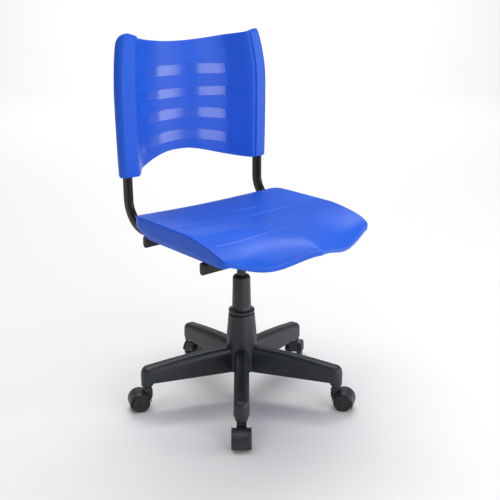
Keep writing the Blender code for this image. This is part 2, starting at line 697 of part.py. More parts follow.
# ---------------------------------------------------------------- gas lift and column
def make_gas_lift(materials, column, seat_level):
    """The sliding cylinder hangs from the socket; the piston rod stands on the thrust bearing."""
    bore = CYLINDER_RADIUS - CYLINDER_WALL
    foot = CYLINDER_FOOT - SEAT_HEIGHT
    valve_hole = 0.0030 + GAP
    profile = [(bore - 0.0018, foot), (CYLINDER_RADIUS, foot), (CYLINDER_RADIUS, CYLINDER_TOP - 0.001),
               (CYLINDER_RADIUS - 0.001, CYLINDER_TOP), (valve_hole, CYLINDER_TOP), (valve_hole,
                                                                                     CYLINDER_TOP - 0.024),
               (bore, CYLINDER_TOP - 0.024), (bore, foot + 0.0016), (bore - 0.0018, foot + 0.0016)]
    verts, faces = lathe(profile)
    solid("gas_cylinder", verts, faces, materials["paint"], seat_level)
    seal_foot = foot + 0.0016 + GAP
    profile = [(PISTON_ROD_RADIUS + GAP, seal_foot), (bore - GAP, seal_foot), (bore - GAP, seal_foot + 0.018),
               (PISTON_ROD_RADIUS + GAP, seal_foot + 0.018)]
    verts, faces = lathe(profile, 16)
    solid("rod_seal", verts, faces, materials["plug"], seat_level)

    head = bore - GAP
    clip_groove = COLUMN_FOOT - 0.0055
    shoulder = BEARING_TOP + GAP
    profile = [(0, clip_groove - 0.003), (0.0042, clip_groove - 0.003), (PISTON_ROD_RADIUS,
                                                                         clip_groove - 0.002),
               (PISTON_ROD_RADIUS, shoulder), (0.0080, shoulder), (0.0080, shoulder + 0.0025),
               (PISTON_ROD_RADIUS, shoulder + 0.0025), (PISTON_ROD_RADIUS, PISTON_Z), (head, PISTON_Z),
               (head, PISTON_Z + 0.013), (0, PISTON_Z + 0.013)]
    verts, faces = lathe(profile, 16)
    solid("piston_rod", verts, faces, materials["steel"], column)
    ring("retaining_clip", PISTON_ROD_RADIUS + GAP, 0.0090, clip_groove, COLUMN_FOOT - 0.0035,
         materials["steel"], column)
    ring("thrust_bearing", PISTON_ROD_RADIUS + GAP, COLUMN_RADIUS - COLUMN_WALL - 0.003, BEARING_FOOT,
         BEARING_TOP,
         materials["steel"], column)
    ring("rubber_buffer", PISTON_ROD_RADIUS + GAP, 0.0105, shoulder + 0.0025 + GAP, BUFFER_TOP,
         materials["plug"], column)


def ring(name, inner, outer, low, high, material, parent):
    """A plain turned ring with a small chamfer outside."""
    edge = 0.0006
    profile = [(inner, low), (outer - edge, low), (outer, low + edge), (outer, high - edge), (outer - edge,
                                                                                              high),
               (inner, high)]
    verts, faces = lathe(profile, 16)
    return solid(name, verts, faces, material, parent)


def make_column(materials, parent):
    inner = COLUMN_RADIUS - COLUMN_WALL
    floor = BEARING_FOOT - GAP
    taper = 0.0008
    profile = [(PISTON_ROD_RADIUS + 0.001, COLUMN_FOOT), (COLUMN_RADIUS - taper, COLUMN_FOOT),
               (COLUMN_RADIUS, COLUMN_FOOT + 0.060), (COLUMN_RADIUS, COLUMN_TOP), (inner, COLUMN_TOP),
               (inner, floor),
               (PISTON_ROD_RADIUS + 0.001, floor)]
    verts, faces = lathe(profile)
    solid("column_tube", verts, faces, materials["paint"], parent)
    ring("guide_bush", CYLINDER_RADIUS + GAP, inner - GAP, COLUMN_TOP - BUSH_LENGTH, COLUMN_TOP - 0.0005,
         materials["plug"], parent)

    inside = COLUMN_RADIUS + GAP
    outside = inside + COVER_WALL
    foot = HUB_TOP + 0.001
    shoulder = foot + COVER_SKIRT
    swell = 0.0018
    mouth = CYLINDER_RADIUS + 0.0006
    profile = [(mouth, COVER_TOP - COVER_WALL), (mouth, COVER_TOP), (outside - 0.003, COVER_TOP),
               (outside, COVER_TOP - 0.004), (outside + swell, shoulder),
               (outside + swell + 0.003, shoulder - 0.006), (COVER_SKIRT_RADIUS, foot + 0.008),
               (COVER_SKIRT_RADIUS, foot), (COVER_SKIRT_RADIUS - COVER_WALL, foot),
               (COVER_SKIRT_RADIUS - COVER_WALL, foot + 0.006), (inside + swell + 0.001, shoulder - 0.007),
               (inside, shoulder), (inside, COVER_TOP - COVER_WALL)]
    verts, faces = lathe(profile)
    solid("column_cover", verts, faces, materials["nylon"], parent)


# ---------------------------------------------------------------- base
def arm_top(reach):
    """Height of an arm's crest at a distance from the column axis."""
    share = min(max((reach - HUB_FOOT_RADIUS) / (ARM_REACH - HUB_FOOT_RADIUS), 0.0), 1.0)
    crest = ARM_ROOT_HEIGHT + (ARM_END_HEIGHT - ARM_ROOT_HEIGHT) * share ** 1.5
    return ARM_UNDERSIDE + crest


def arm_section(reach, low, top, width, crest):
    """Half-round-shouldered cross-section of an arm that points along +X."""
    half = width / 2
    flat = crest / 2
    shoulder = (top - low) * 0.34
    return [(reach, -half, low), (reach, half, low), (reach, half * 0.97, top - shoulder),
            (reach, (half + flat) / 2 * 1.02, top - shoulder * 0.34), (reach, flat * 0.72, top),
            (reach, -flat * 0.72, top), (reach, -(half + flat) / 2 * 1.02, top - shoulder * 0.34),
            (reach, -half * 0.97, top - shoulder)]


def arm_rings():
    rings = []
    start = 0.010
    straight_end = ARM_REACH - 0.019
    for i in range(7):
        reach = start + (straight_end - start) * i / 6
        rings.append(arm_section(reach, ARM_UNDERSIDE, arm_top(reach), ARM_WIDTH, ARM_CREST))
    tip = ARM_REACH - straight_end
    for i in range(1, 5):
        angle = math.pi / 2 * i / 4 * 0.97
        reach = straight_end + tip * math.sin(angle)
        squeeze = 0.18 + 0.82 * math.cos(angle)
        top = ARM_UNDERSIDE + (arm_top(straight_end) - ARM_UNDERSIDE) * (0.42 + 0.58 * math.cos(angle) ** 0.8)
        rings.append(arm_section(reach, ARM_UNDERSIDE, top, ARM_WIDTH * squeeze, ARM_CREST * squeeze))
    return rings


def arm_pocket_rings():
    """The hollow under an arm, between the hub and the stem's boss."""
    rings = []
    start = HUB_FOOT_RADIUS + 0.006
    end = CASTER_REACH - 0.016
    for i in range(4):
        reach = start + (end - start) * i / 3
        top = arm_top(reach) - ARM_WALL * 1.4
        low = ARM_UNDERSIDE - 0.010
        half = ARM_WIDTH / 2 - ARM_WALL
        rings.append([(reach, -half, low), (reach, half, low), (reach, half - 0.001, top - 0.022),
                      (reach, ARM_CREST / 2 - 0.003, top), (reach, -ARM_CREST / 2 + 0.003, top),
                      (reach, -half + 0.001, top - 0.022)])
    return rings


def turned(points, heading):
    turn = Matrix.Rotation(heading, 3, "Z")
    return [turn @ Vector(p) for p in points]


def arm_headings():
    """Heading of each arm about Z, measured from +X."""
    first = -math.pi / 2 - ARM_HEADING
    return [first + 2 * math.pi * k / ARM_COUNT for k in range(ARM_COUNT)]


def make_star_base(materials, parent):
    foot = ARM_UNDERSIDE
    blend = foot + ARM_ROOT_HEIGHT
    profile = [(0, foot), (HUB_FOOT_RADIUS, foot), (HUB_FOOT_RADIUS, blend - 0.02),
               (HUB_FOOT_RADIUS - 0.0008, blend + 0.03),
               (HUB_TOP_RADIUS + 0.0004, HUB_TOP - 0.0035), (HUB_TOP_RADIUS - 0.0016, HUB_TOP - 0.001),
               (HUB_TOP_RADIUS - 0.003, HUB_TOP), (0, HUB_TOP)]
    verts, faces = lathe(profile, 20)
    base = solid("star_base", verts, faces, materials["nylon"], parent)
    for index, heading in enumerate(arm_headings()):
        verts, faces = loft(arm_rings())
        arm = solid(f"arm_{index}", turned(verts, heading), faces, parent=parent)
        boolean(base, tool(arm), "UNION")
    for index, heading in enumerate(arm_headings()):
        verts, faces = loft(arm_pocket_rings())
        pocket = solid(f"arm_pocket_{index}", turned(verts, heading), faces, parent=parent)
        boolean(base, tool(pocket))
        x = CASTER_REACH * math.cos(heading)
        y = CASTER_REACH * math.sin(heading)
        boss = rod(f"stem_boss_{index}", STEM_BOSS_RADIUS, 2 * STEM_BOSS, (0, 0, 1), (x, y, ARM_UNDERSIDE),
                   parent=parent)
        boolean(base, tool(boss), "UNION")
        depth = STEM_IN_ARM + 0.001
        socket = rod(f"stem_socket_{index}", STEM_RADIUS + GAP, 2 * depth, (0, 0, 1), (x, y, ARM_UNDERSIDE),
                     sides=12,
                     parent=parent)
        boolean(base, tool(socket))
    clear = GAP
    profile = [(0, foot - 0.01), (COLUMN_RADIUS - 0.0008 + clear, foot - 0.01),
               (COLUMN_RADIUS - 0.0008 + clear, COLUMN_FOOT), (COLUMN_RADIUS + clear, COLUMN_FOOT + 0.060),
               (COLUMN_RADIUS + clear, HUB_TOP + 0.01), (0, HUB_TOP + 0.01)]
    verts, faces = lathe(profile)
    bore = solid("column_bore", verts, faces, parent=parent)
    boolean(base, tool(bore))


# ---------------------------------------------------------------- casters
def hood_outline():
    """Side view of a caster's hood in (x, z), with the stem axis at x = 0."""
    radius = WHEEL_RADIUS + FENDER_GAP + FENDER_WALL
    outline = []
    for i in range(10):
        angle = math.radians(-28 + 148 * i / 9)
        outline.append((CASTER_TRAIL + radius * math.cos(angle), AXLE_Z + radius * math.sin(angle)))
    boss = 0.0105
    outline += [(boss, HOOD_TOP - 0.004), (boss - 0.002, HOOD_TOP), (-boss + 0.002, HOOD_TOP),
                (-boss, HOOD_TOP - 0.004)]
    outline += [(-boss, AXLE_Z + 0.016), (-boss + 0.006, AXLE_Z + 0.002), (0.010, AXLE_Z - 0.006),
                (CASTER_TRAIL, AXLE_Z - 0.010)]
    return outline


def make_caster(index, heading, turn_out, materials, parent):
    """One caster: stem, hood, axle and two wheels. turn_out swivels it from trailing outwards."""
    place = (CASTER_REACH * math.cos(heading), CASTER_REACH * math.sin(heading), 0)
    swivel = empty(f"caster_{index}_swivel", place, heading + turn_out, parent)
    outline = hood_outline()
    half = CASTER_WIDTH / 2
    verts, faces = loft([[(x, y, z) for x, z in outline] for y in (-half, half)])
    hood = solid(f"caster_{index}_hood", verts, faces, materials["nylon"], swivel)
    web = half - WHEEL_WIDTH - 0.0009
    bay_width = 0.030
    for side, label in ((1, "a"), (-1, "b")):
        bay = rod(f"bay_{index}_{label}", WHEEL_RADIUS + FENDER_GAP, bay_width, (0, 1, 0),
                  (CASTER_TRAIL, side * (web + bay_width / 2), AXLE_Z), sides=SIDES, parent=swivel)
        boolean(hood, tool(bay))
        trim = solid(f"trim_{index}_{label}", *neck_trim(side), parent=swivel)
        boolean(hood, tool(trim))
    stem_foot = HOOD_TOP - 0.022
    socket = rod(f"hood_socket_{index}", STEM_RADIUS + GAP, 0.050, (0, 0, 1), (0, 0, stem_foot - GAP + 0.025),
                 sides=12, parent=swivel)
    boolean(hood, tool(socket))
    axle_hole = rod(f"axle_hole_{index}", AXLE_RADIUS + GAP, 0.06, (0, 1, 0), (CASTER_TRAIL, 0, AXLE_Z),
                    sides=12,
                    parent=swivel)
    boolean(hood, tool(axle_hole))

    collar = 0.0085
    profile = [(0, stem_foot), (STEM_RADIUS, stem_foot), (STEM_RADIUS, HOOD_TOP + GAP),
               (collar, HOOD_TOP + GAP),
               (collar, BOSS_FOOT - 0.0015), (STEM_RADIUS, BOSS_FOOT - 0.0015),
               (STEM_RADIUS, ARM_UNDERSIDE + STEM_IN_ARM - 0.002), (STEM_RADIUS - 0.0015,
                                                                    ARM_UNDERSIDE + STEM_IN_ARM),
               (0, ARM_UNDERSIDE + STEM_IN_ARM)]
    verts, faces = lathe(profile, 12)
    solid(f"caster_{index}_stem", verts, faces, materials["steel"], swivel)
    rod(f"caster_{index}_axle", AXLE_RADIUS, CASTER_WIDTH - 0.006, (0, 1, 0), (CASTER_TRAIL, 0, AXLE_Z),
        sides=12,
        material=materials["steel"], parent=swivel)

    wheel_inner = web + 0.0005
    wheel_outer = wheel_inner + WHEEL_WIDTH
    bore = AXLE_RADIUS + GAP
    profile = [(bore, wheel_inner), (WHEEL_RADIUS, wheel_inner), (WHEEL_RADIUS, wheel_outer - 0.0030),
               (WHEEL_RADIUS - 0.0030, wheel_outer), (bore, wheel_outer)]
    verts, faces = lathe(profile, SIDES, phase=math.pi / SIDES)
    for side, label in ((1, "left"), (-1, "right")):
        turn = Matrix.Rotation(-side * math.pi / 2, 3, "X")
        solid(f"caster_{index}_wheel_{label}", [turn @ Vector(v) for v in verts], faces, materials["tread"],
              swivel,
              (CASTER_TRAIL, 0, AXLE_Z))


def neck_trim(side):
    """What is cut from a hood beside its neck, so that the fender is wide and the neck is narrow."""
    inner = 0.0115
    outer = CASTER_WIDTH
    top = ARM_UNDERSIDE
    radius = WHEEL_RADIUS + FENDER_GAP + FENDER_WALL
    outline = [(-0.030, 0.0), (-0.0060, 0.0)]
    for i in range(4):
        angle = math.radians(180 - 22 * i)
        outline.append((CASTER_TRAIL + radius * math.cos(angle), AXLE_Z + radius * math.sin(angle)))
    outline += [(CASTER_TRAIL - 0.004, top), (-0.030, top)]
    return loft([[(x, y, z) for x, z in outline] for y in (side * inner, side * outer)])


# ---------------------------------------------------------------- assembly
def main():
    clear_scene()
    materials = {
        "plastic": finish_material("blue_polypropylene", (0.035, 0.115, 0.70), 0.42),
        "paint": finish_material("black_powder_coat", (0.012, 0.012, 0.012), 0.38, 0.2),
        "nylon": finish_material("black_nylon", (0.030, 0.033, 0.036), 0.55),
        "tread": finish_material("wheel_nylon", (0.028, 0.028, 0.030), 0.5),
        "plug": finish_material("black_plug", (0.014, 0.014, 0.014), 0.5),
        "steel": finish_material("zinc_steel", (0.55, 0.55, 0.54), 0.32, 1.0),
        "screw": finish_material("black_screw", (0.03, 0.03, 0.03), 0.35, 0.8),
    }
    column = empty("column_axis")
    seat_level = empty("seat_level", (0, 0, SEAT_HEIGHT), parent=column)
    shell = make_seat_shell(materials["plastic"], seat_level)
    add_seat_bosses(shell, materials["screw"], seat_level)
    for side in (-1, 1):
        make_side_frame(side, materials, seat_level)
    make_cross_tubes(materials, seat_level)
    make_backrest(materials, seat_level)
    make_mechanism(materials, seat_level)
    make_lever(materials, seat_level)
    make_gas_lift(materials, column, seat_level)
    make_column(materials, column)
    make_star_base(materials, column)
    for index, heading in enumerate(arm_headings()):
        make_caster(index + 1, heading, math.radians(CASTER_TURN[index]), materials, column)


main()
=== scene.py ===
"""The finished look of a swivel office chair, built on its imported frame.

Metres, +Z up. The origin is on the floor under the column, and the sitter faces -Y.
"""

import logging
import math
from collections.abc import Callable, Iterable, Sequence
from dataclasses import dataclass, field
from enum import Enum

import bmesh
import bpy
from mathutils import Matrix, Vector


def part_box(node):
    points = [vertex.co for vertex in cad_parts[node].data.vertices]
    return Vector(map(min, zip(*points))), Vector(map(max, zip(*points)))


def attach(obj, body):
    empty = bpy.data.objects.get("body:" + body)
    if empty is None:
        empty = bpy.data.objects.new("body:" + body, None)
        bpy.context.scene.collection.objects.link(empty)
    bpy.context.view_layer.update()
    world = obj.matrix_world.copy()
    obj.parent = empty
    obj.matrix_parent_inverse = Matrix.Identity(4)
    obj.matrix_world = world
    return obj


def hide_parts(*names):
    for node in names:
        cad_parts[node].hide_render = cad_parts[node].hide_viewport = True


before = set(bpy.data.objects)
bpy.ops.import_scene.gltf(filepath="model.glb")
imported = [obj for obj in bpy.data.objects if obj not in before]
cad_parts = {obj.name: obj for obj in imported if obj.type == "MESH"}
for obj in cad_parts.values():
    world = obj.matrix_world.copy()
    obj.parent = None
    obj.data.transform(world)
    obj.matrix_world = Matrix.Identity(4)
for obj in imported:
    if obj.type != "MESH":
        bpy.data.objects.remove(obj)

LOG = logging.getLogger("office_chair")
Colour = tuple[float, float, float]
Profile = list[tuple[float, float]]
TURN_STEPS = 72
SHARP_EDGE = math.radians(38)
# the gap between fitted parts, in metres
FIT = 0.0003
X_WAY, Y_WAY, Z_WAY = Vector((1, 0, 0)), Vector((0, 1, 0)), Vector((0, 0, 1))


# ------------------------------------------------------------------ shapes
def smooth_step(value: float) -> float:
    """Ease a value from 0 to 1 without corners."""
    value = min(max(value, 0.0), 1.0)
    return value * value * (3 - 2 * value)


def quarter(steps: int, first: int = 0) -> list[float]:
    """Angles of equal steps through a quarter turn, starting from one of them."""
    return [math.pi / 2 * step / steps for step in range(first, steps + 1)]


def centre(node: str) -> Vector:
    """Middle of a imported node's box."""
    low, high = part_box(node)
    return (low + high) / 2


def footprint(node: str) -> Vector:
    """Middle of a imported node's box, brought down to the floor."""
    return centre(node).xy.to_3d()


def radius_of(node: str) -> float:
    """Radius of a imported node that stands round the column's axis."""
    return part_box(node)[1].x


@dataclass
class Shape:
    """Points and faces of a piece while it is being made."""

    points: list[Vector] = field(default_factory=list)
    faces: list[list[int]] = field(default_factory=list)

    def moved(self, place: Matrix) -> "Shape":
        """Give a copy of the shape at another place.

        Args:
            place: Where the copy goes.

        Returns:
            The moved copy.
        """
        return Shape([place @ point for point in self.points], [list(face) for face in self.faces])

    def add(self, other: "Shape") -> None:
        """Append another shape to this one.

        Args:
            other: The shape to append.
        """
        start = len(self.points)
        self.points += other.points
        self.faces += [[start + index for index in face] for face in other.faces]


def turned(profile: Profile, steps: int = TURN_STEPS, phase: float = 0.0) -> Shape:
    """Turn a closed outline about the Z axis.

    Args:
        profile: (radius, height) points; a radius of zero is a pole.
        steps: Points round the axis.
        phase: Angle of the first point.

    Returns:
        A closed shape.
    """
    shape = Shape()
    rings: list[list[int]] = []
    for radius, height in profile:
        if radius < 1e-7:
            rings.append([len(shape.points)] * steps)
            shape.points.append(Vector((0, 0, height)))
            continue
        rings.append(list(range(len(shape.points), len(shape.points) + steps)))
        for step in range(steps):
            angle = phase + 2 * math.pi * step / steps
            shape.points.append(Vector((radius * math.cos(angle), radius * math.sin(angle), height)))
    for low, high in zip(rings, rings[1:] + rings[:1]):
        for step in range(steps):
            after = (step + 1) % steps
            face = list(dict.fromkeys([low[step], low[after], high[after], high[step]]))
            if len(face) > 2:
                shape.faces.append(face)
    return shape


def lofted(rings: Sequence[Sequence[Vector]]) -> Shape:
    """Join rings of equal length into a closed skin.

    Args:
        rings: Points of each cross-section, in order.

    Returns:
        A shape with a cap at each end.
    """
    count = len(rings[0])
    shape = Shape([Vector(point) for ring in rings for point in ring])
    for level in range(len(rings) - 1):
        for step in range(count):
            after = (step + 1) % count
            low, high = level * count, (level + 1) * count
            shape.faces.append([low + step, low + after, high + after, high + step])
    shape.faces.append(list(range(count))[::-1])
    last = (len(rings) - 1) * count
    shape.faces.append([last + step for step in range(count)])
    return shape


def border(columns: int, rows: int) -> list[int]:
    """Walk round the border of a grid of points.

    Args:
        columns: Points in a row.
        rows: Rows, which follow each other.

    Returns:
        The border's points, in order.
    """
    rim = list(range(columns)) + [row * columns + columns - 1 for row in range(1, rows)]
    rim += [(rows - 1) * columns + column for column in range(columns - 2, -1, -1)]
    return rim + [row * columns for row in range(rows - 2, 0, -1)]


def filleted(profile: Profile, radius: float, steps: int = 4) -> Profile:
    """Round the corners of a closed outline.

    Args:
        profile: (radius, height) points. Points on the axis stay sharp.
        radius: Largest rounding, cut back where two corners are close.
        steps: Points along each rounding.

    Returns:
        The rounded outline.
    """
    result: Profile = []
    count = len(profile)
    for index, corner in enumerate(profile):
        here = Vector(corner)
        before = Vector(profile[index - 1]) - here
        after = Vector(profile[(index + 1) % count]) - here
        reach = min(radius, before.length * 0.45, after.length * 0.45)
        if corner[0] < 1e-7 or reach < 1e-6:
            result.append(corner)
            continue
        start = here + before.normalized() * reach
        end = here + after.normalized() * reach
        for step in range(steps + 1):
            share = step / steps
            point = start.lerp(here, share).lerp(here.lerp(end, share), share)
            result.append((point.x, point.y))
    return result


def stadium(wide: float, narrow: float, points: int = 32) -> list[tuple[float, float]]:
    """Outline of an oval tube, with its wide side along the first number.

    Args:
        wide: Overall width.
        narrow: Overall thickness, which is also the diameter of the ends.
        points: Points in the outline.

    Returns:
        (wide, narrow) pairs in order round the outline.
    """
    radius = narrow / 2
    flat = wide / 2 - radius
    outline = []
    for index in range(points):
        angle = 2 * math.pi * (index + 0.5) / points
        side = flat if math.cos(angle) > 0 else -flat
        outline.append((side + radius * math.cos(angle), radius * math.sin(angle)))
    return outline


def oval_ring(place: Vector, wide_way: Vector, thin_way: Vector, wide: float, narrow: float,
              points: int = 40) -> list[Vector]:
    """Put an oval tube's outline at a place.

    Args:
        place: Centre of the outline.
        wide_way: Direction of its wide side.
        thin_way: Direction of its narrow side.
        wide: Overall width.
        narrow: Overall thickness.
        points: Points in the outline.

    Returns:
        The points of the ring.
    """
    return [place + wide_way * along + thin_way * over for along, over in stadium(wide, narrow, points)]


def round_bar(radius: float, low: float, high: float, steps: int = 96) -> Shape:
    """A plain cylinder on the Z axis between two heights."""
    return turned([(0, low), (radius, low), (radius, high), (0, high)], steps)


def box_shape(low: Sequence[float], high: Sequence[float]) -> Shape:
    """A box between two corners, to be bevelled afterwards.

    Args:
        low: Lowest corner.
        high: Highest corner.

    Returns:
        The box.
    """
    xs, ys, zs = zip(low, high)
    floor = [Vector((xs[i], ys[j], zs[0])) for i, j in ((0, 0), (1, 0), (1, 1), (0, 1))]
    return lofted([floor, [Vector((point.x, point.y, zs[1])) for point in floor]])


def extruded(outline: Sequence[tuple[float, float]], start: float, end: float) -> Shape:
    """Draw an (x, z) outline out along Y.

    Args:
        outline: (x, z) points in order.
        start: First Y.
        end: Last Y.

    Returns:
        A closed prism.
    """
    return lofted([[Vector((x, y, z)) for x, z in outline] for y in (start, end)])


# ------------------------------------------------------------------ nodes
class Value:
    """A number that varies over a surface, with arithmetic that adds Math nodes."""

    def __init__(self, graph: "Graph", socket: bpy.types.NodeSocket) -> None:
        """Wrap an output socket of a graph."""
        self.graph = graph
        self.socket = socket

    def __add__(self, other: "Value | float") -> "Value":
        """Add."""
        return self.graph.maths("ADD", self, other)

    def __sub__(self, other: "Value | float") -> "Value":
        """Subtract."""
        return self.graph.maths("SUBTRACT", self, other)

    def __rsub__(self, other: float) -> "Value":
        """Subtract from a number."""
        return self.graph.maths("SUBTRACT", other, self)

    def __mul__(self, other: "Value | float") -> "Value":
        """Multiply."""
        return self.graph.maths("MULTIPLY", self, other)

    __radd__ = __add__
    __rmul__ = __mul__

    def between(self, low: float, high: float) -> "Value":
        """Ramp smoothly from 0 at low to 1 at high.

        Args:
            low: Where the ramp starts.
            high: Where it ends.

        Returns:
            The ramp.
        """
        values = {"Value": self, "From Min": low, "From Max": high}
        ramp = self.graph.node("ShaderNodeMapRange", {"interpolation_type": "SMOOTHSTEP"}, values)
        return Value(self.graph, ramp.outputs[0])


class Nodes:
    """A node tree and the one way to add to it."""

    def __init__(self, tree: bpy.types.NodeTree) -> None:
        """Take hold of a tree."""
        self.tree = tree

    def node(self, kind: str, settings: dict[str, object] | None = None,
             values: dict[str, object] | None = None) -> bpy.types.Node:
        """Add a node.

        Args:
            kind: The node's type.
            settings: Its properties, which are set first.
            values: Numbers, colours, sockets or Values for its inputs, by name or identifier.

        Returns:
            The new node.
        """
        item = self.tree.nodes.new(kind)
        for name, setting in (settings or {}).items():
            setattr(item, name, setting)
        for name, value in (values or {}).items():
            match = [socket for socket in item.inputs if socket.identifier == name]
            self.feed(match[0] if match else item.inputs[name], value)
        return item

    def feed(self, socket: bpy.types.NodeSocket, value: object) -> None:
        """Link a socket or a Value to an input, or set the input to a constant.

        Args:
            socket: The input.
            value: What it gets.
        """
        if isinstance(value, Value):
            value = value.socket
        if isinstance(value, bpy.types.NodeSocket):
            self.tree.links.new(value, socket)
        else:
            socket.default_value = value


class Graph(Nodes):
    """The shader nodes of one material."""

    def __init__(self, name: str) -> None:
        """Start a material with a Principled shader.

        Args:
            name: The material's name.
        """
        self.material = bpy.data.materials.new(name)
        self.material.use_nodes = True
        super().__init__(self.material.node_tree)
        self.shader = self.tree.nodes["Principled BSDF"]
        self.place = self.node("ShaderNodeTexCoord").outputs["Object"]

    def maths(self, operation: str, *values: "Value | float") -> Value:
        """Add a Math node for an expression."""
        pairs = {f"Value_{index:03d}" if index else "Value": value for index, value in enumerate(values)}
        return Value(self, self.node("ShaderNodeMath", {"operation": operation}, pairs).outputs[0])

    def noise(self, size: float, detail: float = 2.0, stretch: Colour = (1.0, 1.0, 1.0)) -> Value:
        """Soft random variation over the piece.

        Args:
            size: Size of a patch, in metres.
            detail: Octaves.
            stretch: How much each axis is compressed.

        Returns:
            A value near 0.5.
        """
        mapped = self.node("ShaderNodeMapping", None, {"Vector": self.place, "Scale": stretch}).outputs[0]
        values = {"Vector": mapped, "Scale": 1 / size, "Detail": detail}
        return Value(self, self.node("ShaderNodeTexNoise", None, values).outputs[0])

    def attribute(self, name: str) -> Value:
        """Read a number stored on the mesh."""
        return Value(self, self.node("ShaderNodeAttribute", {"attribute_name": name}).outputs["Fac"])

    def mixed(self, share: Value, low: object, high: object) -> bpy.types.NodeSocket:
        """Mix two colours by a share.

        Args:
            share: 0 for the first colour, 1 for the second.
            low: First colour.
            high: Second colour.

        Returns:
            The mixed colour.
        """
        values = {"Factor_Float": share, "A_Color": low, "B_Color": high}
        item = self.node("ShaderNodeMix", {"data_type": "RGBA"}, values)
        return next(socket for socket in item.outputs if socket.identifier == "Result_Color")

    def surface(self, values: dict[str, object]) -> None:
        """Feed the shader's inputs by name."""
        for name, value in values.items():
            self.feed(self.shader.inputs[name], value)

    def relief(self, height: Value, depth: float) -> None:
        """Drive the shader's normal from a height."""
        bump = self.node("ShaderNodeBump", None, {"Height": height, "Distance": depth, "Strength": 1.0})
        self.feed(self.shader.inputs["Normal"], bump.outputs["Normal"])


def shade(colour: Colour, factor: float) -> tuple[float, float, float, float]:
    """Scale a colour and give it an alpha."""
    return (colour[0] * factor, colour[1] * factor, colour[2] * factor, 1.0)


# ------------------------------------------------------------------ finishes
@dataclass(frozen=True)
class Moulding:
    """Injection-moulded plastic with flow marks and a fine spark-eroded grain."""

    name: str
    colour: Colour
    roughness: float
    flow: float = 0.06
    grain: float = 0.0006
    grain_depth: float = 0.00002
    polished: float | None = None
    lustre: float = 0.55
    sheen: float = 0.5
    scuffs: float = 0.0
    slot: str = "black_nylon"

    def material(self) -> bpy.types.Material:
        """Build the material.

        Returns:
            The material.
        """
        graph = Graph(self.name)
        flow = graph.noise(0.09, 3.0, (1.0, 1.0, 0.45))
        cloud = graph.noise(0.022, 2.0)
        blend = flow * 0.7 + cloud * 0.3
        low, high = shade(self.colour, 1 - self.flow), shade(self.colour, 1 + self.flow)
        base = graph.mixed(blend.between(0.36, 0.64), low, high)
        roughness = (blend - 0.5) * 0.16 + self.roughness
        if self.scuffs > 0:
            rub = graph.noise(0.012, 4.0, (0.35, 0.35, 2.6)) * graph.noise(0.05, 1.0)
            worn = rub.between(0.34, 0.47)
            pale = tuple(part * 2.2 + 0.012 for part in self.colour)
            base = graph.mixed(worn * self.scuffs, base, shade(pale, 1.0))
            roughness = roughness + worn * (0.18 * self.scuffs)
        grain = graph.noise(self.grain, 1.0)
        if self.polished is not None:
            polish = graph.attribute("polish")
            roughness = roughness * (1 - polish) + polish * self.polished
            grain = grain * (1 - polish * 0.9)
            graph.surface({"Coat Weight": polish * self.lustre, "Coat IOR": 1.9, "Coat Roughness": 0.17})
        graph.surface({"Base Color": base, "Roughness": roughness, "Specular IOR Level": self.sheen})
        graph.relief(grain, self.grain_depth)
        return graph.material


@dataclass(frozen=True)
class PowderCoat:
    """Baked powder paint on steel: slight orange peel and dust in random patches."""

    name: str
    colour: Colour
    roughness: float
    peel: float = 0.0016
    sheen: float = 0.5
    slot: str = "black_powder_coat"

    def material(self) -> bpy.types.Material:
        """Build the material.

        Returns:
            The material.
        """
        graph = Graph(self.name)
        peel = graph.noise(self.peel, 2.0)
        patch = graph.noise(0.05, 3.0)
        dust = graph.noise(0.004, 4.0).between(0.60, 0.78) * patch.between(0.45, 0.7)
        pale = tuple(part * 1.8 + 0.018 for part in self.colour)
        base = graph.mixed(dust * 0.5, shade(self.colour, 1.0), shade(pale, 1.0))
        graph.surface({"Base Color": base, "Roughness": (patch - 0.5) * 0.2 + dust * 0.15 + self.roughness,
                       "Specular IOR Level": self.sheen, "Coat Weight": 0.08, "Coat Roughness": 0.25})
        graph.relief(peel, 0.00006)
        return graph.material


@dataclass(frozen=True)
class ZincPlate:
    """Bright zinc on steel, drawn along one axis."""

    name: str
    colour: Colour
    roughness: float
    drawn: Colour = (1.0, 1.0, 1.0)
    slot: str = "zinc_steel"

    def material(self) -> bpy.types.Material:
        """Build the material.

        Returns:
            The material.
        """
        graph = Graph(self.name)
        lines = graph.noise(0.0009, 3.0, self.drawn)
        bloom = graph.noise(0.008, 3.0)
        base = graph.mixed(bloom.between(0.42, 0.66), shade(self.colour, 1.0), shade(self.colour, 0.72))
        roughness = lines * 0.18 + bloom * 0.12 + (self.roughness - 0.12)
        graph.surface({"Base Color": base, "Roughness": roughness, "Metallic": 1.0})
        graph.relief(lines, 0.000012)
        return graph.material


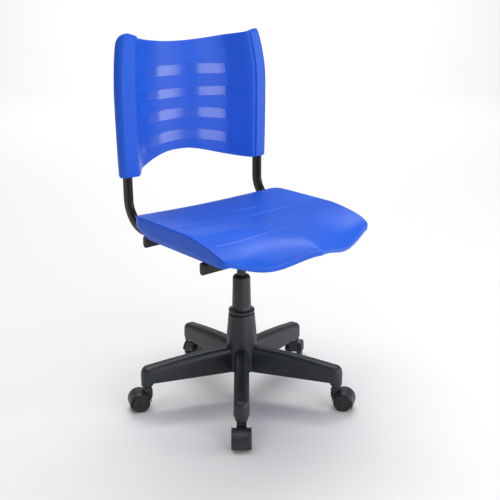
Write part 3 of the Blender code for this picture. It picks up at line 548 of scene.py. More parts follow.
class Finish(Enum):
    """Every finish on the chair."""

    BLUE = Moulding("blue_polypropylene", (0.016, 0.112, 0.690), 0.36, flow=0.035, grain=0.0009,
                    grain_depth=0.000012, polished=0.20, lustre=0.40, sheen=0.24, slot="blue_polypropylene")
    PAINT = PowderCoat("black_powder_coat", (0.0040, 0.0040, 0.0040), 0.30, sheen=0.28)
    GLOSS = PowderCoat("black_gas_lift", (0.008, 0.009, 0.010), 0.24, peel=0.003)
    NYLON = Moulding("black_nylon", (0.0165, 0.0205, 0.0250), 0.42, flow=0.10, grain=0.0011,
                     grain_depth=0.00003, scuffs=0.45)
    TREAD = Moulding("wheel_nylon", (0.0120, 0.0135, 0.0150), 0.46, flow=0.12, grain=0.0008,
                     grain_depth=0.00003, scuffs=0.6, slot="wheel_nylon")
    PLUG = Moulding("black_plug", (0.0100, 0.0100, 0.0100), 0.50, flow=0.10, grain=0.0007,
                    grain_depth=0.00003, slot="black_plug")
    ZINC = ZincPlate("zinc_steel", (0.62, 0.62, 0.60), 0.32)
    DRAWN = ZincPlate("zinc_lever_bar", (0.62, 0.62, 0.60), 0.28, drawn=(0.1, 1.0, 1.0))
    SCREW = PowderCoat("black_screw", (0.018, 0.018, 0.019), 0.30, peel=0.0008, slot="black_screw")


MATERIALS = {finish: finish.value.material() for finish in Finish}


# ------------------------------------------------------------------ making pieces
def new_object(name: str, shape: Shape, finish: Finish | None = None) -> bpy.types.Object:
    """Make a mesh object with outward faces and smooth shading.

    Args:
        name: The object's name.
        shape: Its points and faces.
        finish: Its finish, if it is shown.

    Returns:
        The object, linked to the scene.
    """
    mesh = bpy.data.meshes.new(name)
    mesh.from_pydata([tuple(point) for point in shape.points], [], shape.faces)
    work = bmesh.new()
    work.from_mesh(mesh)
    bmesh.ops.recalc_face_normals(work, faces=work.faces)
    work.to_mesh(mesh)
    work.free()
    mesh.shade_smooth()
    mesh.set_sharp_from_angle(angle=SHARP_EDGE)
    if finish is not None:
        mesh.materials.append(MATERIALS[finish])
    item = bpy.data.objects.new(name, mesh)
    bpy.context.collection.objects.link(item)
    return item


def settle(item: bpy.types.Object, body: str, nodes: Iterable[str]) -> bpy.types.Object:
    """Fix a finished piece to its body and hide the CAD nodes that it stands for.

    Args:
        item: The piece.
        body: The body that it moves with.
        nodes: The CAD nodes that it replaces.

    Returns:
        The same piece.
    """
    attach(item, body)
    nodes = list(nodes)
    if nodes:
        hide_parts(*nodes)
    LOG.info("%s rides on %s: %d faces", item.name, body, len(item.data.polygons))
    return item


def piece(name: str, shape: Shape, finish: Finish, body: str, nodes: Iterable[str] = (),
          bevel: float = 0.0) -> bpy.types.Object:
    """Make a piece, round its edges and fix it to its body.

    Args:
        name: The piece's name.
        shape: Its points and faces.
        finish: Its finish.
        body: The body that it moves with.
        nodes: The CAD nodes that it replaces.
        bevel: Width of a rounding on its sharp edges.

    Returns:
        The piece.
    """
    item = new_object(name, shape, finish)
    if bevel > 0:
        rounding = item.modifiers.new("rounding", "BEVEL")
        rounding.width = bevel
        rounding.segments = 3
        rounding.limit_method = "ANGLE"
        rounding.angle_limit = math.radians(40)
    return settle(item, body, nodes)


def baked(item: bpy.types.Object, name: str) -> bpy.types.Object:
    """Replace an object and its modifiers by a plain mesh of the result.

    Args:
        item: The object, which is removed.
        name: Name of the new object.

    Returns:
        A plain mesh object at the origin.
    """
    bpy.context.view_layer.update()
    graph = bpy.context.evaluated_depsgraph_get()
    mesh = bpy.data.meshes.new_from_object(item.evaluated_get(graph))
    bpy.data.objects.remove(item, do_unlink=True)
    mesh.name = name
    result = bpy.data.objects.new(name, mesh)
    bpy.context.collection.objects.link(result)
    return result


def carved(name: str, body: Shape, finish: Finish, added: Sequence[Shape],
           removed: Sequence[Shape]) -> bpy.types.Object:
    """Join shapes to a body and cut others out of it.

    Args:
        name: Name of the result.
        body: The shape to start from.
        finish: Its finish.
        added: Shapes to join to it.
        removed: Shapes to cut away.

    Returns:
        A plain mesh object.
    """
    item = new_object(f"{name}_blank", body, finish)
    helpers = []
    for operation, shapes in (("UNION", added), ("DIFFERENCE", removed)):
        for shape in shapes:
            helper = new_object(f"{name}_helper_{len(helpers)}", shape)
            helpers.append(helper)
            modifier = item.modifiers.new("cut", "BOOLEAN")
            modifier.operation = operation
            modifier.object = helper
    result = baked(item, name)
    for helper in helpers:
        bpy.data.objects.remove(helper, do_unlink=True)
    work = bmesh.new()
    work.from_mesh(result.data)
    bmesh.ops.remove_doubles(work, verts=work.verts, dist=1e-6)
    bmesh.ops.dissolve_degenerate(work, edges=work.edges, dist=1e-6)
    work.to_mesh(result.data)
    work.free()
    result.data.shade_smooth()
    result.data.set_sharp_from_angle(angle=SHARP_EDGE)
    return result


def store(item: bpy.types.Object, name: str, rule: Callable[[Vector], float]) -> None:
    """Store a number on every point of a mesh.

    Args:
        item: The object.
        name: The attribute's name.
        rule: Gives the number for a point.
    """
    attribute = item.data.attributes.new(name, "FLOAT", "POINT")
    attribute.data.foreach_set("value", [rule(vertex.co) for vertex in item.data.vertices])


# ------------------------------------------------------------------ repeated pieces
class Scatter(Nodes):
    """A Geometry Nodes tree with named inputs."""

    def __init__(self, name: str, inputs: Sequence[tuple[str, str]]) -> None:
        """Start a tree.

        Args:
            name: The tree's name.
            inputs: (name, socket type) of each input after the geometry.
        """
        tree = bpy.data.node_groups.new(name, "GeometryNodeTree")
        tree.interface.new_socket("Geometry", in_out="INPUT", socket_type="NodeSocketGeometry")
        for label, kind in inputs:
            tree.interface.new_socket(label, in_out="INPUT", socket_type=kind)
        tree.interface.new_socket("Geometry", in_out="OUTPUT", socket_type="NodeSocketGeometry")
        super().__init__(tree)
        self.given = self.node("NodeGroupInput").outputs

    def random(self, low: float, high: float, seed: int) -> bpy.types.NodeSocket:
        """A random number for each point, from a fixed seed.

        Args:
            low: Smallest number.
            high: Largest number.
            seed: The fixed seed.

        Returns:
            The number's socket.
        """
        values = {"Min_001": low, "Max_001": high, "Seed": seed}
        item = self.node("FunctionNodeRandomValue", {"data_type": "FLOAT"}, values)
        return next(socket for socket in item.outputs if socket.enabled)

    def close(self, instances: bpy.types.NodeSocket) -> None:
        """End the tree: make the instances real and give them their finish.

        Args:
            instances: The instances to end with.
        """
        real = self.node("GeometryNodeRealizeInstances", None, {"Geometry": instances}).outputs[0]
        values = {"Geometry": real, "Material": self.given["Finish"]}
        dressed = self.node("GeometryNodeSetMaterial", None, values).outputs[0]
        self.node("NodeGroupOutput", None, {"Geometry": dressed})

    def grow(self, name: str, seed: Shape, edges: Sequence[tuple[int, int]],
             **values: object) -> bpy.types.Object:
        """Run the tree on a set of points and keep the result as a plain mesh.

        Args:
            name: Name of the result.
            seed: Points that the tree works on.
            edges: Pairs of points that are joined.
            **values: The inputs, with _ for a space.

        Returns:
            A plain mesh object.
        """
        mesh = bpy.data.meshes.new(f"{name}_seed")
        mesh.from_pydata([tuple(point) for point in seed.points], list(edges), [])
        item = bpy.data.objects.new(f"{name}_seed", mesh)
        bpy.context.collection.objects.link(item)
        modifier = item.modifiers.new("grow", "NODES")
        modifier.node_group = self.tree
        for entry in self.tree.interface.items_tree:
            key = entry.name.replace(" ", "_")
            if entry.in_out == "INPUT" and key in values:
                modifier[entry.identifier] = values[key]
        result = baked(item, name)
        result.data.set_sharp_from_angle(angle=SHARP_EDGE)
        return result


def heads_tree() -> Scatter:
    """Build the tree that puts a fastener's head on each point, facing up or down.

    Returns:
        The tree.
    """
    kinds = [("Head", "NodeSocketObject"), ("Turn", "NodeSocketVector"), ("Finish", "NodeSocketMaterial")]
    tree = Scatter("fastener_heads", kinds)
    head = tree.node("GeometryNodeObjectInfo", None, {"Object": tree.given["Head"]}).outputs["Geometry"]
    own = tree.node("ShaderNodeCombineXYZ", None, {"Z": tree.random(0.0, 1.4, 7)}).outputs[0]
    values = {"Points": tree.given["Geometry"], "Instance": head, "Rotation": tree.given["Turn"]}
    placed = tree.node("GeometryNodeInstanceOnPoints", None, values).outputs[0]
    spun = tree.node("GeometryNodeRotateInstances", None, {"Instances": placed, "Rotation": own}).outputs[0]
    tree.close(spun)
    return tree


def weld_tree() -> Scatter:
    """Build the tree that lays a weld's overlapping ripples along each edge.

    Returns:
        The tree.
    """
    kinds = [("Pitch", "NodeSocketFloat"), ("Radius", "NodeSocketFloat"), ("Finish", "NodeSocketMaterial")]
    tree = Scatter("weld_ripples", kinds)
    line = tree.node("GeometryNodeMeshToCurve", None, {"Mesh": tree.given["Geometry"]}).outputs[0]
    values = {"Curve": line, "Length": tree.given["Pitch"]}
    dots = tree.node("GeometryNodeCurveToPoints", {"mode": "LENGTH"}, values).outputs[0]
    values = {"Radius": tree.given["Radius"], "Subdivisions": 2}
    drop = tree.node("GeometryNodeMeshIcoSphere", None, values).outputs[0]
    values = {"Points": dots, "Instance": drop, "Scale": tree.random(0.82, 1.12, 11)}
    tree.close(tree.node("GeometryNodeInstanceOnPoints", None, values).outputs[0])
    return tree


def ribs_tree() -> Scatter:
    """Build the tree that repeats a row of ribs under every arm of a star.

    Returns:
        The tree.
    """
    kinds = [("Arms", "NodeSocketInt"), ("Ribs", "NodeSocketInt"), ("First", "NodeSocketVector"),
             ("Pitch", "NodeSocketFloat"), ("Rib", "NodeSocketVector"), ("Heading", "NodeSocketFloat"),
             ("Finish", "NodeSocketMaterial")]
    tree = Scatter("arm_ribs", kinds)
    step = tree.node("ShaderNodeCombineXYZ", None, {"X": tree.given["Pitch"]}).outputs[0]
    values = {"Count": tree.given["Ribs"], "Start Location": tree.given["First"], "Offset": step}
    row = tree.node("GeometryNodeMeshLine", {"mode": "OFFSET"}, values).outputs[0]
    rib = tree.node("GeometryNodeMeshCube", None, {"Size": tree.given["Rib"]}).outputs[0]
    one = tree.node("GeometryNodeInstanceOnPoints", None, {"Points": row, "Instance": rib}).outputs[0]
    whole = tree.node("GeometryNodeGeometryToInstance", None, {"Geometry": one}).outputs[0]
    values = {"Count": tree.given["Arms"], "Offset": (0.0, 0.0, 0.0)}
    hub = tree.node("GeometryNodeMeshLine", {"mode": "OFFSET"}, values).outputs[0]
    index = tree.node("GeometryNodeInputIndex").outputs[0]
    values = {"Value": 2 * math.pi, "Value_001": tree.given["Arms"]}
    share = tree.node("ShaderNodeMath", {"operation": "DIVIDE"}, values).outputs[0]
    values = {"Value": index, "Value_001": share, "Value_002": tree.given["Heading"]}
    turn = tree.node("ShaderNodeMath", {"operation": "MULTIPLY_ADD"}, values).outputs[0]
    about = tree.node("ShaderNodeCombineXYZ", None, {"Z": turn}).outputs[0]
    values = {"Points": hub, "Instance": whole, "Rotation": about}
    tree.close(tree.node("GeometryNodeInstanceOnPoints", None, values).outputs[0])
    return tree


# ------------------------------------------------------------------ seat
@dataclass
class SeatShell:
    """The seat: a dished sheet that rolls over at the front and has a turned-down rim."""

    level: float
    half: float
    rear: float
    front: float
    rear_setback: float = 0.009
    rear_drop: float = 0.003
    front_setback: float = 0.0645
    dish: float = 0.015
    skirt: float = 0.047
    lip: float = 0.011
    front_drop: float = 0.0465
    corner_lift: float = 0.0075
    thigh_wave: float = 0.010
    wall: float = 0.0032
    edge: float = 0.0033
    corner: float = 0.008
    ridge_rise: float = 0.0013
    ridge_width: float = 0.0021
    boss_foot: float = 0.0068
    boss_root: float = 0.0074
    boss_grip: float = 0.0067
    boss_depth: float = 0.016
    columns: int = 97
    rows: int = 261
    # the place along, the start and the end of each ridge
    ridges: tuple[tuple[float, float, float], ...] = (
        (0.035, -0.133, 0.085), (-0.015, -0.200, 0.150), (-0.090, -0.212, 0.085), (-0.150, -0.205, 0.030))

    def half_width(self, along: float) -> float:
        """Half the width at a share of the way from the rear to the front.

        Args:
            along: 0 to 1 from the rear to the front.

        Returns:
            The half-width there.
        """
        rear = 0.030 * max(0.0, 1 - along / 0.07) ** 2
        front = 0.012 * max(0.0, (along - 0.90) / 0.10) ** 2
        return self.half * (1 - rear - front)

    def point(self, across: float, along: float) -> Vector:
        """A point of the top face.

        Args:
            across: -1 to 1 from the sitter's right to left.
            along: 0 to 1 from the rear to the front.

        Returns:
            The point, in the chair's frame.
        """
        side = abs(across)
        rear = self.rear - self.rear_setback * side ** 3
        front = self.front - self.front_setback * side ** 1.05
        past = max(0.0, (along - 0.60) / 0.40)
        roll = 0.75 * past ** 1.6 + 0.25 * past ** 8
        swell = math.sin(math.pi * min(1.0, along * 1.1 + 0.06))
        dish = self.dish * (1 - side ** 2.2) * (0.35 + 0.65 * swell)
        wave = self.thigh_wave * math.cos(2 * math.pi * 0.93 * across)
        edge = -self.front_drop + wave + self.corner_lift * side ** 6
        drop = self.rear_drop * max(0.0, 1 - along / 0.15) ** 2
        height = roll * edge - (1 - roll) * dish - drop
        return Vector((across * self.half_width(along), rear - along * (rear + front), self.level + height))

    def rim_depth(self, across: float, along: float) -> float:
        """Depth of the turned-down rim below the top face.

        Args:
            across: -1 to 1 across the sheet.
            along: 0 to 1 from the rear to the front.

        Returns:
            The depth there.
        """
        on_side = smooth_step((abs(across) - 0.945) / 0.05)
        share = 0.58 + 0.42 * smooth_step(along / 0.20)
        side = self.skirt * share + self.point(across, along).z - self.level
        return self.lip + on_side * max(0.0, side - self.lip)

    def rounded(self, across: float, along: float) -> tuple[float, float, Vector]:
        """Bring a point of the square sheet inside the rounded corners.

        Args:
            across: -1 to 1 across the sheet.
            along: 0 to 1 along the sheet.

        Returns:
            The new across and along, and the way outwards from the corner, or a zero vector away from it.
        """
        length = self.rear + self.front - self.front_setback
        wide = self.half_width(along)
        near = 1 - (1 - abs(across)) * wide / self.corner
        far = 1 - min(along, 1 - along) * length / self.corner
        if near <= 0 or far <= 0:
            return across, along, Vector()
        scale = max(near, far) / math.hypot(near, far)
        near, far = near * scale, far * scale
        side = math.copysign(1 - (1 - near) * self.corner / wide, across)
        share = (1 - far) * self.corner / length
        rear_half = along < 0.5
        outward = Vector((math.copysign(near, across), far if rear_half else -far, 0)).normalized()
        return side, share if rear_half else 1 - share, outward

    def ridge_height(self, x: float, y: float) -> float:
        """Height of the moulded ridges at a place on the top face.

        Args:
            x: Place across.
            y: Place along.

        Returns:
            The height above the plain sheet.
        """
        height = 0.0
        for line, start, end in self.ridges:
            inside = smooth_step((x - start) / 0.030 + 0.5) * smooth_step((end - x) / 0.060 + 0.5)
            bow = 0.010 * (x / self.half) ** 2
            height += self.ridge_rise * inside * math.exp(-(((y - line + bow) / self.ridge_width) ** 2))
        return height

    def sheet(self) -> Shape:
        """Make the top face and its rim, without thickness.

        Returns:
            An open sheet, one face thick.
        """
        shape = Shape()
        places: list[tuple[float, float, Vector]] = []
        for row in range(self.rows):
            for column in range(self.columns):
                turn = -math.cos(math.pi * column / (self.columns - 1))
                across = 0.4 * turn + 0.6 * (2 * column / (self.columns - 1) - 1)
                turn = 0.5 - 0.5 * math.cos(math.pi * row / (self.rows - 1))
                along = 0.25 * turn + 0.75 * row / (self.rows - 1)
                places.append(self.rounded(across, along))
                point = self.point(*places[-1][:2])
                middle = (self.rear - self.front) / 2
                inset = Vector((point.x * (1 - self.edge / self.half), 0, point.z))
                inset.y = middle + (point.y - middle) * (1 - 2 * self.edge / (self.rear + self.front))
                inset.z += self.ridge_height(inset.x, inset.y)
                shape.points.append(inset)
        for row in range(self.rows - 1):
            for column in range(self.columns - 1):
                corner = row * self.columns + column
                shape.faces.append([corner, corner + self.columns, corner + self.columns + 1, corner + 1])
        self.turn_down(shape, places)
        return shape

    def turn_down(self, shape: Shape, places: Sequence[tuple[float, float, Vector]]) -> None:
        """Roll the sheet's border over its rounded edge and down the rim.

        Args:
            shape: The top face, which grows.
            places: Place on the sheet and outward direction of each of its points.
        """
        columns, rows = self.columns, self.rows
        rim = border(columns, rows)
        radius = self.edge
        levels = [(radius * math.sin(turn), radius * (1 - math.cos(turn)), 0.0) for turn in quarter(6, 1)]
        levels += [(radius - 0.001 * share, radius, share) for share in (0.34, 0.67, 1.0)]
        previous = rim
        for reach, drop, share in levels:
            ring = []
            for index in rim:
                across, along, outward = places[index]
                if outward.length < 0.5:
                    at_end = index < columns or index >= (rows - 1) * columns
                    way, sign = (Y_WAY, 0.5 - along) if at_end else (X_WAY, across)
                    outward = way * math.copysign(1, sign)
                depth = drop + share * (self.rim_depth(across, along) - radius)
                ring.append(len(shape.points))
                shape.points.append(shape.points[index] + outward * reach - Vector((0, 0, depth)))
            for index, low in enumerate(rim):
                after = (index + 1) % len(rim)
                shape.faces.append([previous[index], previous[after], ring[after], ring[index]])
            previous = ring

    def build(self) -> None:
        """Make the seat and the bosses under it."""
        LOG.info("seat shell: %d by %d points", self.columns, self.rows)
        item = new_object("seat", self.sheet(), Finish.BLUE)
        if item.data.polygons[0].normal.z < 0:
            item.data.flip_normals()
        wall = item.modifiers.new("wall", "SOLIDIFY")
        wall.thickness = self.wall
        wall.offset = -1
        settle(item, "seat", ["seat_shell"])
        bosses = Shape()
        root = self.level - self.boss_depth
        for node in (f"seat_screw_{number}" for number in range(1, 5)):
            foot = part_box(node)[1].z - self.boss_grip
            outline = filleted([(0, foot), (self.boss_foot, foot), (self.boss_root, root), (0, root)], 0.0006)
            bosses.add(turned(outline, 32).moved(Matrix.Translation(footprint(node))))
        piece("seat_bosses", bosses, Finish.BLUE, "seat")


# ------------------------------------------------------------------ back
@dataclass
class BackShell:
    """The back: a hollowed panel with polished bands, between two padded wings that sleeve over the posts."""

    level: float
    post_y: float
    post_x: float
    half: float = 0.2285
    low: float = 0.080
    height: float = 0.340
    top_dip: float = 0.033
    bottom_arch: float = 0.032
    hollow: float = 0.074
    wall: float = 0.0045
    corner: float = 0.022
    wing: float = 0.0385
    wing_depth: float = 0.037
    wing_step: float = 0.003
    crown: float = 0.027
    bowl_share: float = 0.71
    bowl_power: float = 2.3
    wing_power: float = 2.4
    wing_round: float = 0.016
    edge_round: float = 0.007
    crease_drop: float = 0.021
    crease_width: float = 0.0016
    lean_depth: float = 0.011
    post_top: float = 0.298
    band_half: float = 0.1355
    band_depth: float = 0.0014
    # width and thickness of the socket for a post
    socket: tuple[float, float] = (0.0312, 0.0172)
    recess: float = 0.0056
    recess_depth: float = 0.0030
    step: float = 0.0005
    # the lower and upper edge of each band, and how far its ends drop
    bands: tuple[tuple[float, float, float], ...] = (
        (0.135, 0.163, 0.017), (0.192, 0.219, 0.011), (0.246, 0.270, 0.002), (0.302, 0.329, 0.002))

    @property
    def inner(self) -> float:
        """Half the width of the panel between the wings."""
        return self.half - self.wing

    def outline(self, x: float) -> tuple[float, float]:
        """Lower and upper edge at x, from the seat's level.

        Args:
            x: Place across the back, before the taper.

        Returns:
            The two heights.
        """
        share = min(1.0, abs(x) / self.half)
        low = self.low + self.bottom_arch * (1 - smooth_step((share - 0.05) / 0.78))
        high = self.low + self.height - self.top_dip * (1 - share ** 2)
        past = abs(x) - (self.half - self.corner)
        if past > 0:
            high -= self.corner - math.sqrt(max(0.0, self.corner ** 2 - past ** 2))
        return low, high

    def taper(self, z: float) -> float:
        """How much the width is drawn in at a height.

        Args:
            z: Height above the seat's level.

        Returns:
            The share of the full width.
        """
        widest = self.low + 0.53 * self.height
        above = max(0.0, (z - widest) / (0.47 * self.height))
        below = max(0.0, (widest - z) / (0.53 * self.height))
        return 1 - 0.098 * above ** 2.2 - 0.012 * below ** 2

    def lean(self, z: float) -> float:
        """How far the back has moved rearwards at a height."""
        start = self.post_top + 0.004
        return self.lean_depth * max(0.0, (z - start) / (self.low + self.height - start)) ** 1.5

    def outer_edge(self, x: float) -> float:
        """What is left of a wing's thickness at x, beside its rounded outer edge."""
        past = min(max(0.0, 1 - (self.half - abs(x)) / self.wing_round), 1.0)
        return 1 - past ** self.wing_power

    def half_depth(self, x: float) -> float:
        """Half the thickness of a wing at x.

        Args:
            x: Place across the back, before the taper.

        Returns:
            Half the thickness there.
        """
        past = min(max(0.0, 1 - (abs(x) - self.inner) / 0.009), 1.0)
        return self.wing_depth / 2 * math.sqrt(self.outer_edge(x) * (1 - past ** self.wing_power))

    def front_face(self, x: float) -> float:
        """Front face at x: a deep bowl that flattens, then a small step up to each wing.

        Args:
            x: Place across the back, before the taper.

        Returns:
            The front face's y.
        """
        share = abs(x) / self.inner
        if share >= 1:
            return self.post_y - self.wing_depth / 2 * math.sqrt(self.outer_edge(x))
        bowl = self.hollow * (1 - min(share, self.bowl_share) ** self.bowl_power)
        if share <= self.bowl_share:
            return self.post_y + bowl
        run = 1 - self.bowl_share
        past = (share - self.bowl_share) / run
        slope = -self.bowl_power * self.hollow * self.bowl_share ** (self.bowl_power - 1) * run
        edge = self.wing_step - self.wing_depth / 2
        rise = smooth_step(past)
        return self.post_y + bowl * (1 - rise) + edge * rise + slope * past * (1 - past) ** 2

    def wing_crease(self, x: float, z: float) -> float:
        """Depth of the crease between the panel and a wing, which fades out towards the top.

        Args:
            x: Place across the back, before the taper.
            z: Height above the seat's level.

        Returns:
            The depth there.
        """
        _, high = self.outline(x)
        fade = smooth_step((high - z - 0.016) / 0.030)
        return 0.0016 * fade * math.exp(-(((abs(x) - self.inner + 0.0006) / 0.0011) ** 2))

    def rear_face(self, x: float) -> float:
        """Rear face at x, as y.

        Args:
            x: Place across the back, before the taper.

        Returns:
            The rear face's y.
        """
        if abs(x) < self.inner:
            return self.front_face(x) + self.wall
        if abs(x) < self.half - self.wing / 2:
            return max(self.post_y + self.wall, self.post_y + self.half_depth(x))
        return max(self.post_y + self.half_depth(x), self.front_face(x) + 0.0008)

    def band_edges(self, x: float) -> list[tuple[float, float]]:
        """Lower and upper edge of each polished band at x."""
        share = min(1.0, abs(x) / self.band_half) ** 2
        return [(low - drop * share, high - drop * share) for low, high, drop in self.bands]

    def in_band(self, x: float, z: float) -> float:
        """1 on the floor of a polished band and 0 outside it.

        Args:
            x: Place across the back, before the taper.
            z: Height above the seat's level.

        Returns:
            The share, which ramps over the band's border.
        """
        side = min(max(0.0, (self.band_half - abs(x)) / self.step), 1.0)
        return max(side * min(max(0.0, min(z - low, high - z) / self.step), 1.0)
                   for low, high in self.band_edges(x))

    def columns(self) -> list[float]:
        """Stations across the back.

        Returns:
            Places across, from the sitter's right to left.
        """
        flat = [self.band_half * 0.995 * step / 40 for step in range(41)]
        flat += [self.band_half - self.step, self.band_half]
        flat += [self.band_half + (self.inner - self.band_half) * step / 60 for step in range(2, 60, 2)]
        flat += [self.inner - 0.0012]
        wing = [self.inner + self.wing * (0.5 - 0.5 * math.cos(math.pi * step / 34)) for step in range(35)]
        positive = flat + wing
        return [-x for x in reversed(positive[1:])] + positive

    def heights(self, x: float) -> list[float]:
        """Stations up the back at x, with close ones at its edges and at the bands'.

        Args:
            x: Place across the back, before the taper.

        Returns:
            Heights above the seat's level, as many for every x.
        """
        low, high = self.outline(x)
        radius = self.edge_round
        stops = [low + radius]
        for bottom, top in self.band_edges(x):
            stops += [bottom, bottom + self.step, top - self.step, top]
        crease = high - self.crease_drop
        stops += [crease - 0.0022, crease, crease + 0.0022, high - radius]
        for index in range(1, len(stops)):
            stops[index] = max(stops[index], stops[index - 1] + 0.0002)
        overshoot = stops[-1] - (high - radius)
        if overshoot > 0:
            share = (high - radius - stops[0]) / (stops[-1] - stops[0])
            stops = [stops[0] + (stop - stops[0]) * share for stop in stops]
        result = [low + radius * (1 - math.cos(turn)) for turn in quarter(6)[:-1]]
        counts = [3] + [1, 7, 1, 4] * 3 + [1, 7, 1, 8] + [1, 1, 4]
        for start, end, count in zip(stops, stops[1:], counts):
            result += [start + (end - start) * step / count for step in range(count)]
        result += [high - radius * math.cos(turn) for turn in quarter(6)]
        return result

    def surfaces(self, x: float, z: float) -> tuple[Vector, Vector]:
        """Front and rear point of the back at x and z, with rounded edges.

        Args:
            x: Place across, before the taper.
            z: Height above the seat's level.

        Returns:
            The two points, in the chair's frame.
        """
        front, rear = self.front_face(x), self.rear_face(x)
        low, high = self.outline(x)
        crown = min(max(0.0, 1 - (high - z) / self.crown), 1.0)
        thick = (rear - front) * (0.12 + 0.88 * math.sqrt(1 - crown ** 2))
        rear = front + min(rear - front, max(self.wall, thick))
        radius = min(self.edge_round, 0.47 * (rear - front))
        near = min(max(0.0, min(z - low, high - z)), radius)
        inset = radius - math.sqrt(max(0.0, radius ** 2 - (radius - near) ** 2))
        past = (z - high + self.crease_drop) / self.crease_width
        crease = math.exp(-(past ** 2)) if abs(x) < self.inner else 0.0
        front += inset + self.band_depth * self.in_band(x, z) + 0.0005 * crease + self.wing_crease(x, z)
        rear -= inset
        across, lean = x * self.taper(z), self.lean(z)
        return Vector((across, front + lean, self.level + z)), Vector((across, rear + lean, self.level + z))

    def blank(self) -> Shape:
        """Make the back before its sockets and recesses are cut.

        Returns:
            A closed shape.
        """
        xs = self.columns()
        shape, rear = Shape(), []
        stations = [self.heights(x) for x in xs]
        rows = len(stations[0])
        for row in range(rows):
            for x, heights in zip(xs, stations):
                near, far = self.surfaces(x, heights[row])
                shape.points.append(near)
                rear.append(far)
        offset, columns = len(shape.points), len(xs)
        shape.points += rear
        for row in range(rows - 1):
            for column in range(columns - 1):
                corner = row * columns + column
                quad = [corner, corner + 1, corner + columns + 1, corner + columns]
                shape.faces.append(quad)
                shape.faces.append([offset + index for index in reversed(quad)])
        rim = border(columns, rows)
        for index, start in enumerate(rim):
            end = rim[(index + 1) % len(rim)]
            shape.faces.append([start, end, offset + end, offset + start])
        return shape

    def is_polished(self, point: Vector) -> float:
        """1 where a point of the finished mesh lies on the floor of a band.

        Args:
            point: The point, in the chair's frame.

        Returns:
            1 or 0, and between them on a band's border.
        """
        z = point.z - self.level
        x = point.x / self.taper(z)
        in_front = point.y - self.lean(z) < self.front_face(x) + 0.6 * self.wall
        return self.in_band(x, z) if in_front else 0.0

    def build(self) -> None:
        """Make the back, with its sockets for the posts and the screws' recesses."""
        LOG.info("back shell: %d stations across", len(self.columns()))
        cuts = []
        ends = (self.level + self.low - 0.03, self.level + self.post_top + 0.002)
        for x, node in ((-self.post_x, "back_screw_right"), (self.post_x, "back_screw_left")):
            rings = [oval_ring(Vector((x, self.post_y, z)), Y_WAY, X_WAY, *self.socket) for z in ends]
            cuts.append(lofted(rings))
            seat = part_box(node)[1].y - self.recess_depth
            turn = Matrix.Translation((x, 0, centre(node).z)) @ Matrix.Rotation(-math.pi / 2, 4, "X")
            cuts.append(round_bar(self.recess, seat, seat + 0.03, 48).moved(turn))
        item = carved("back", self.blank(), Finish.BLUE, [], cuts)
        store(item, "polish", self.is_polished)
        settle(item, "seat", ["backrest_shell"])


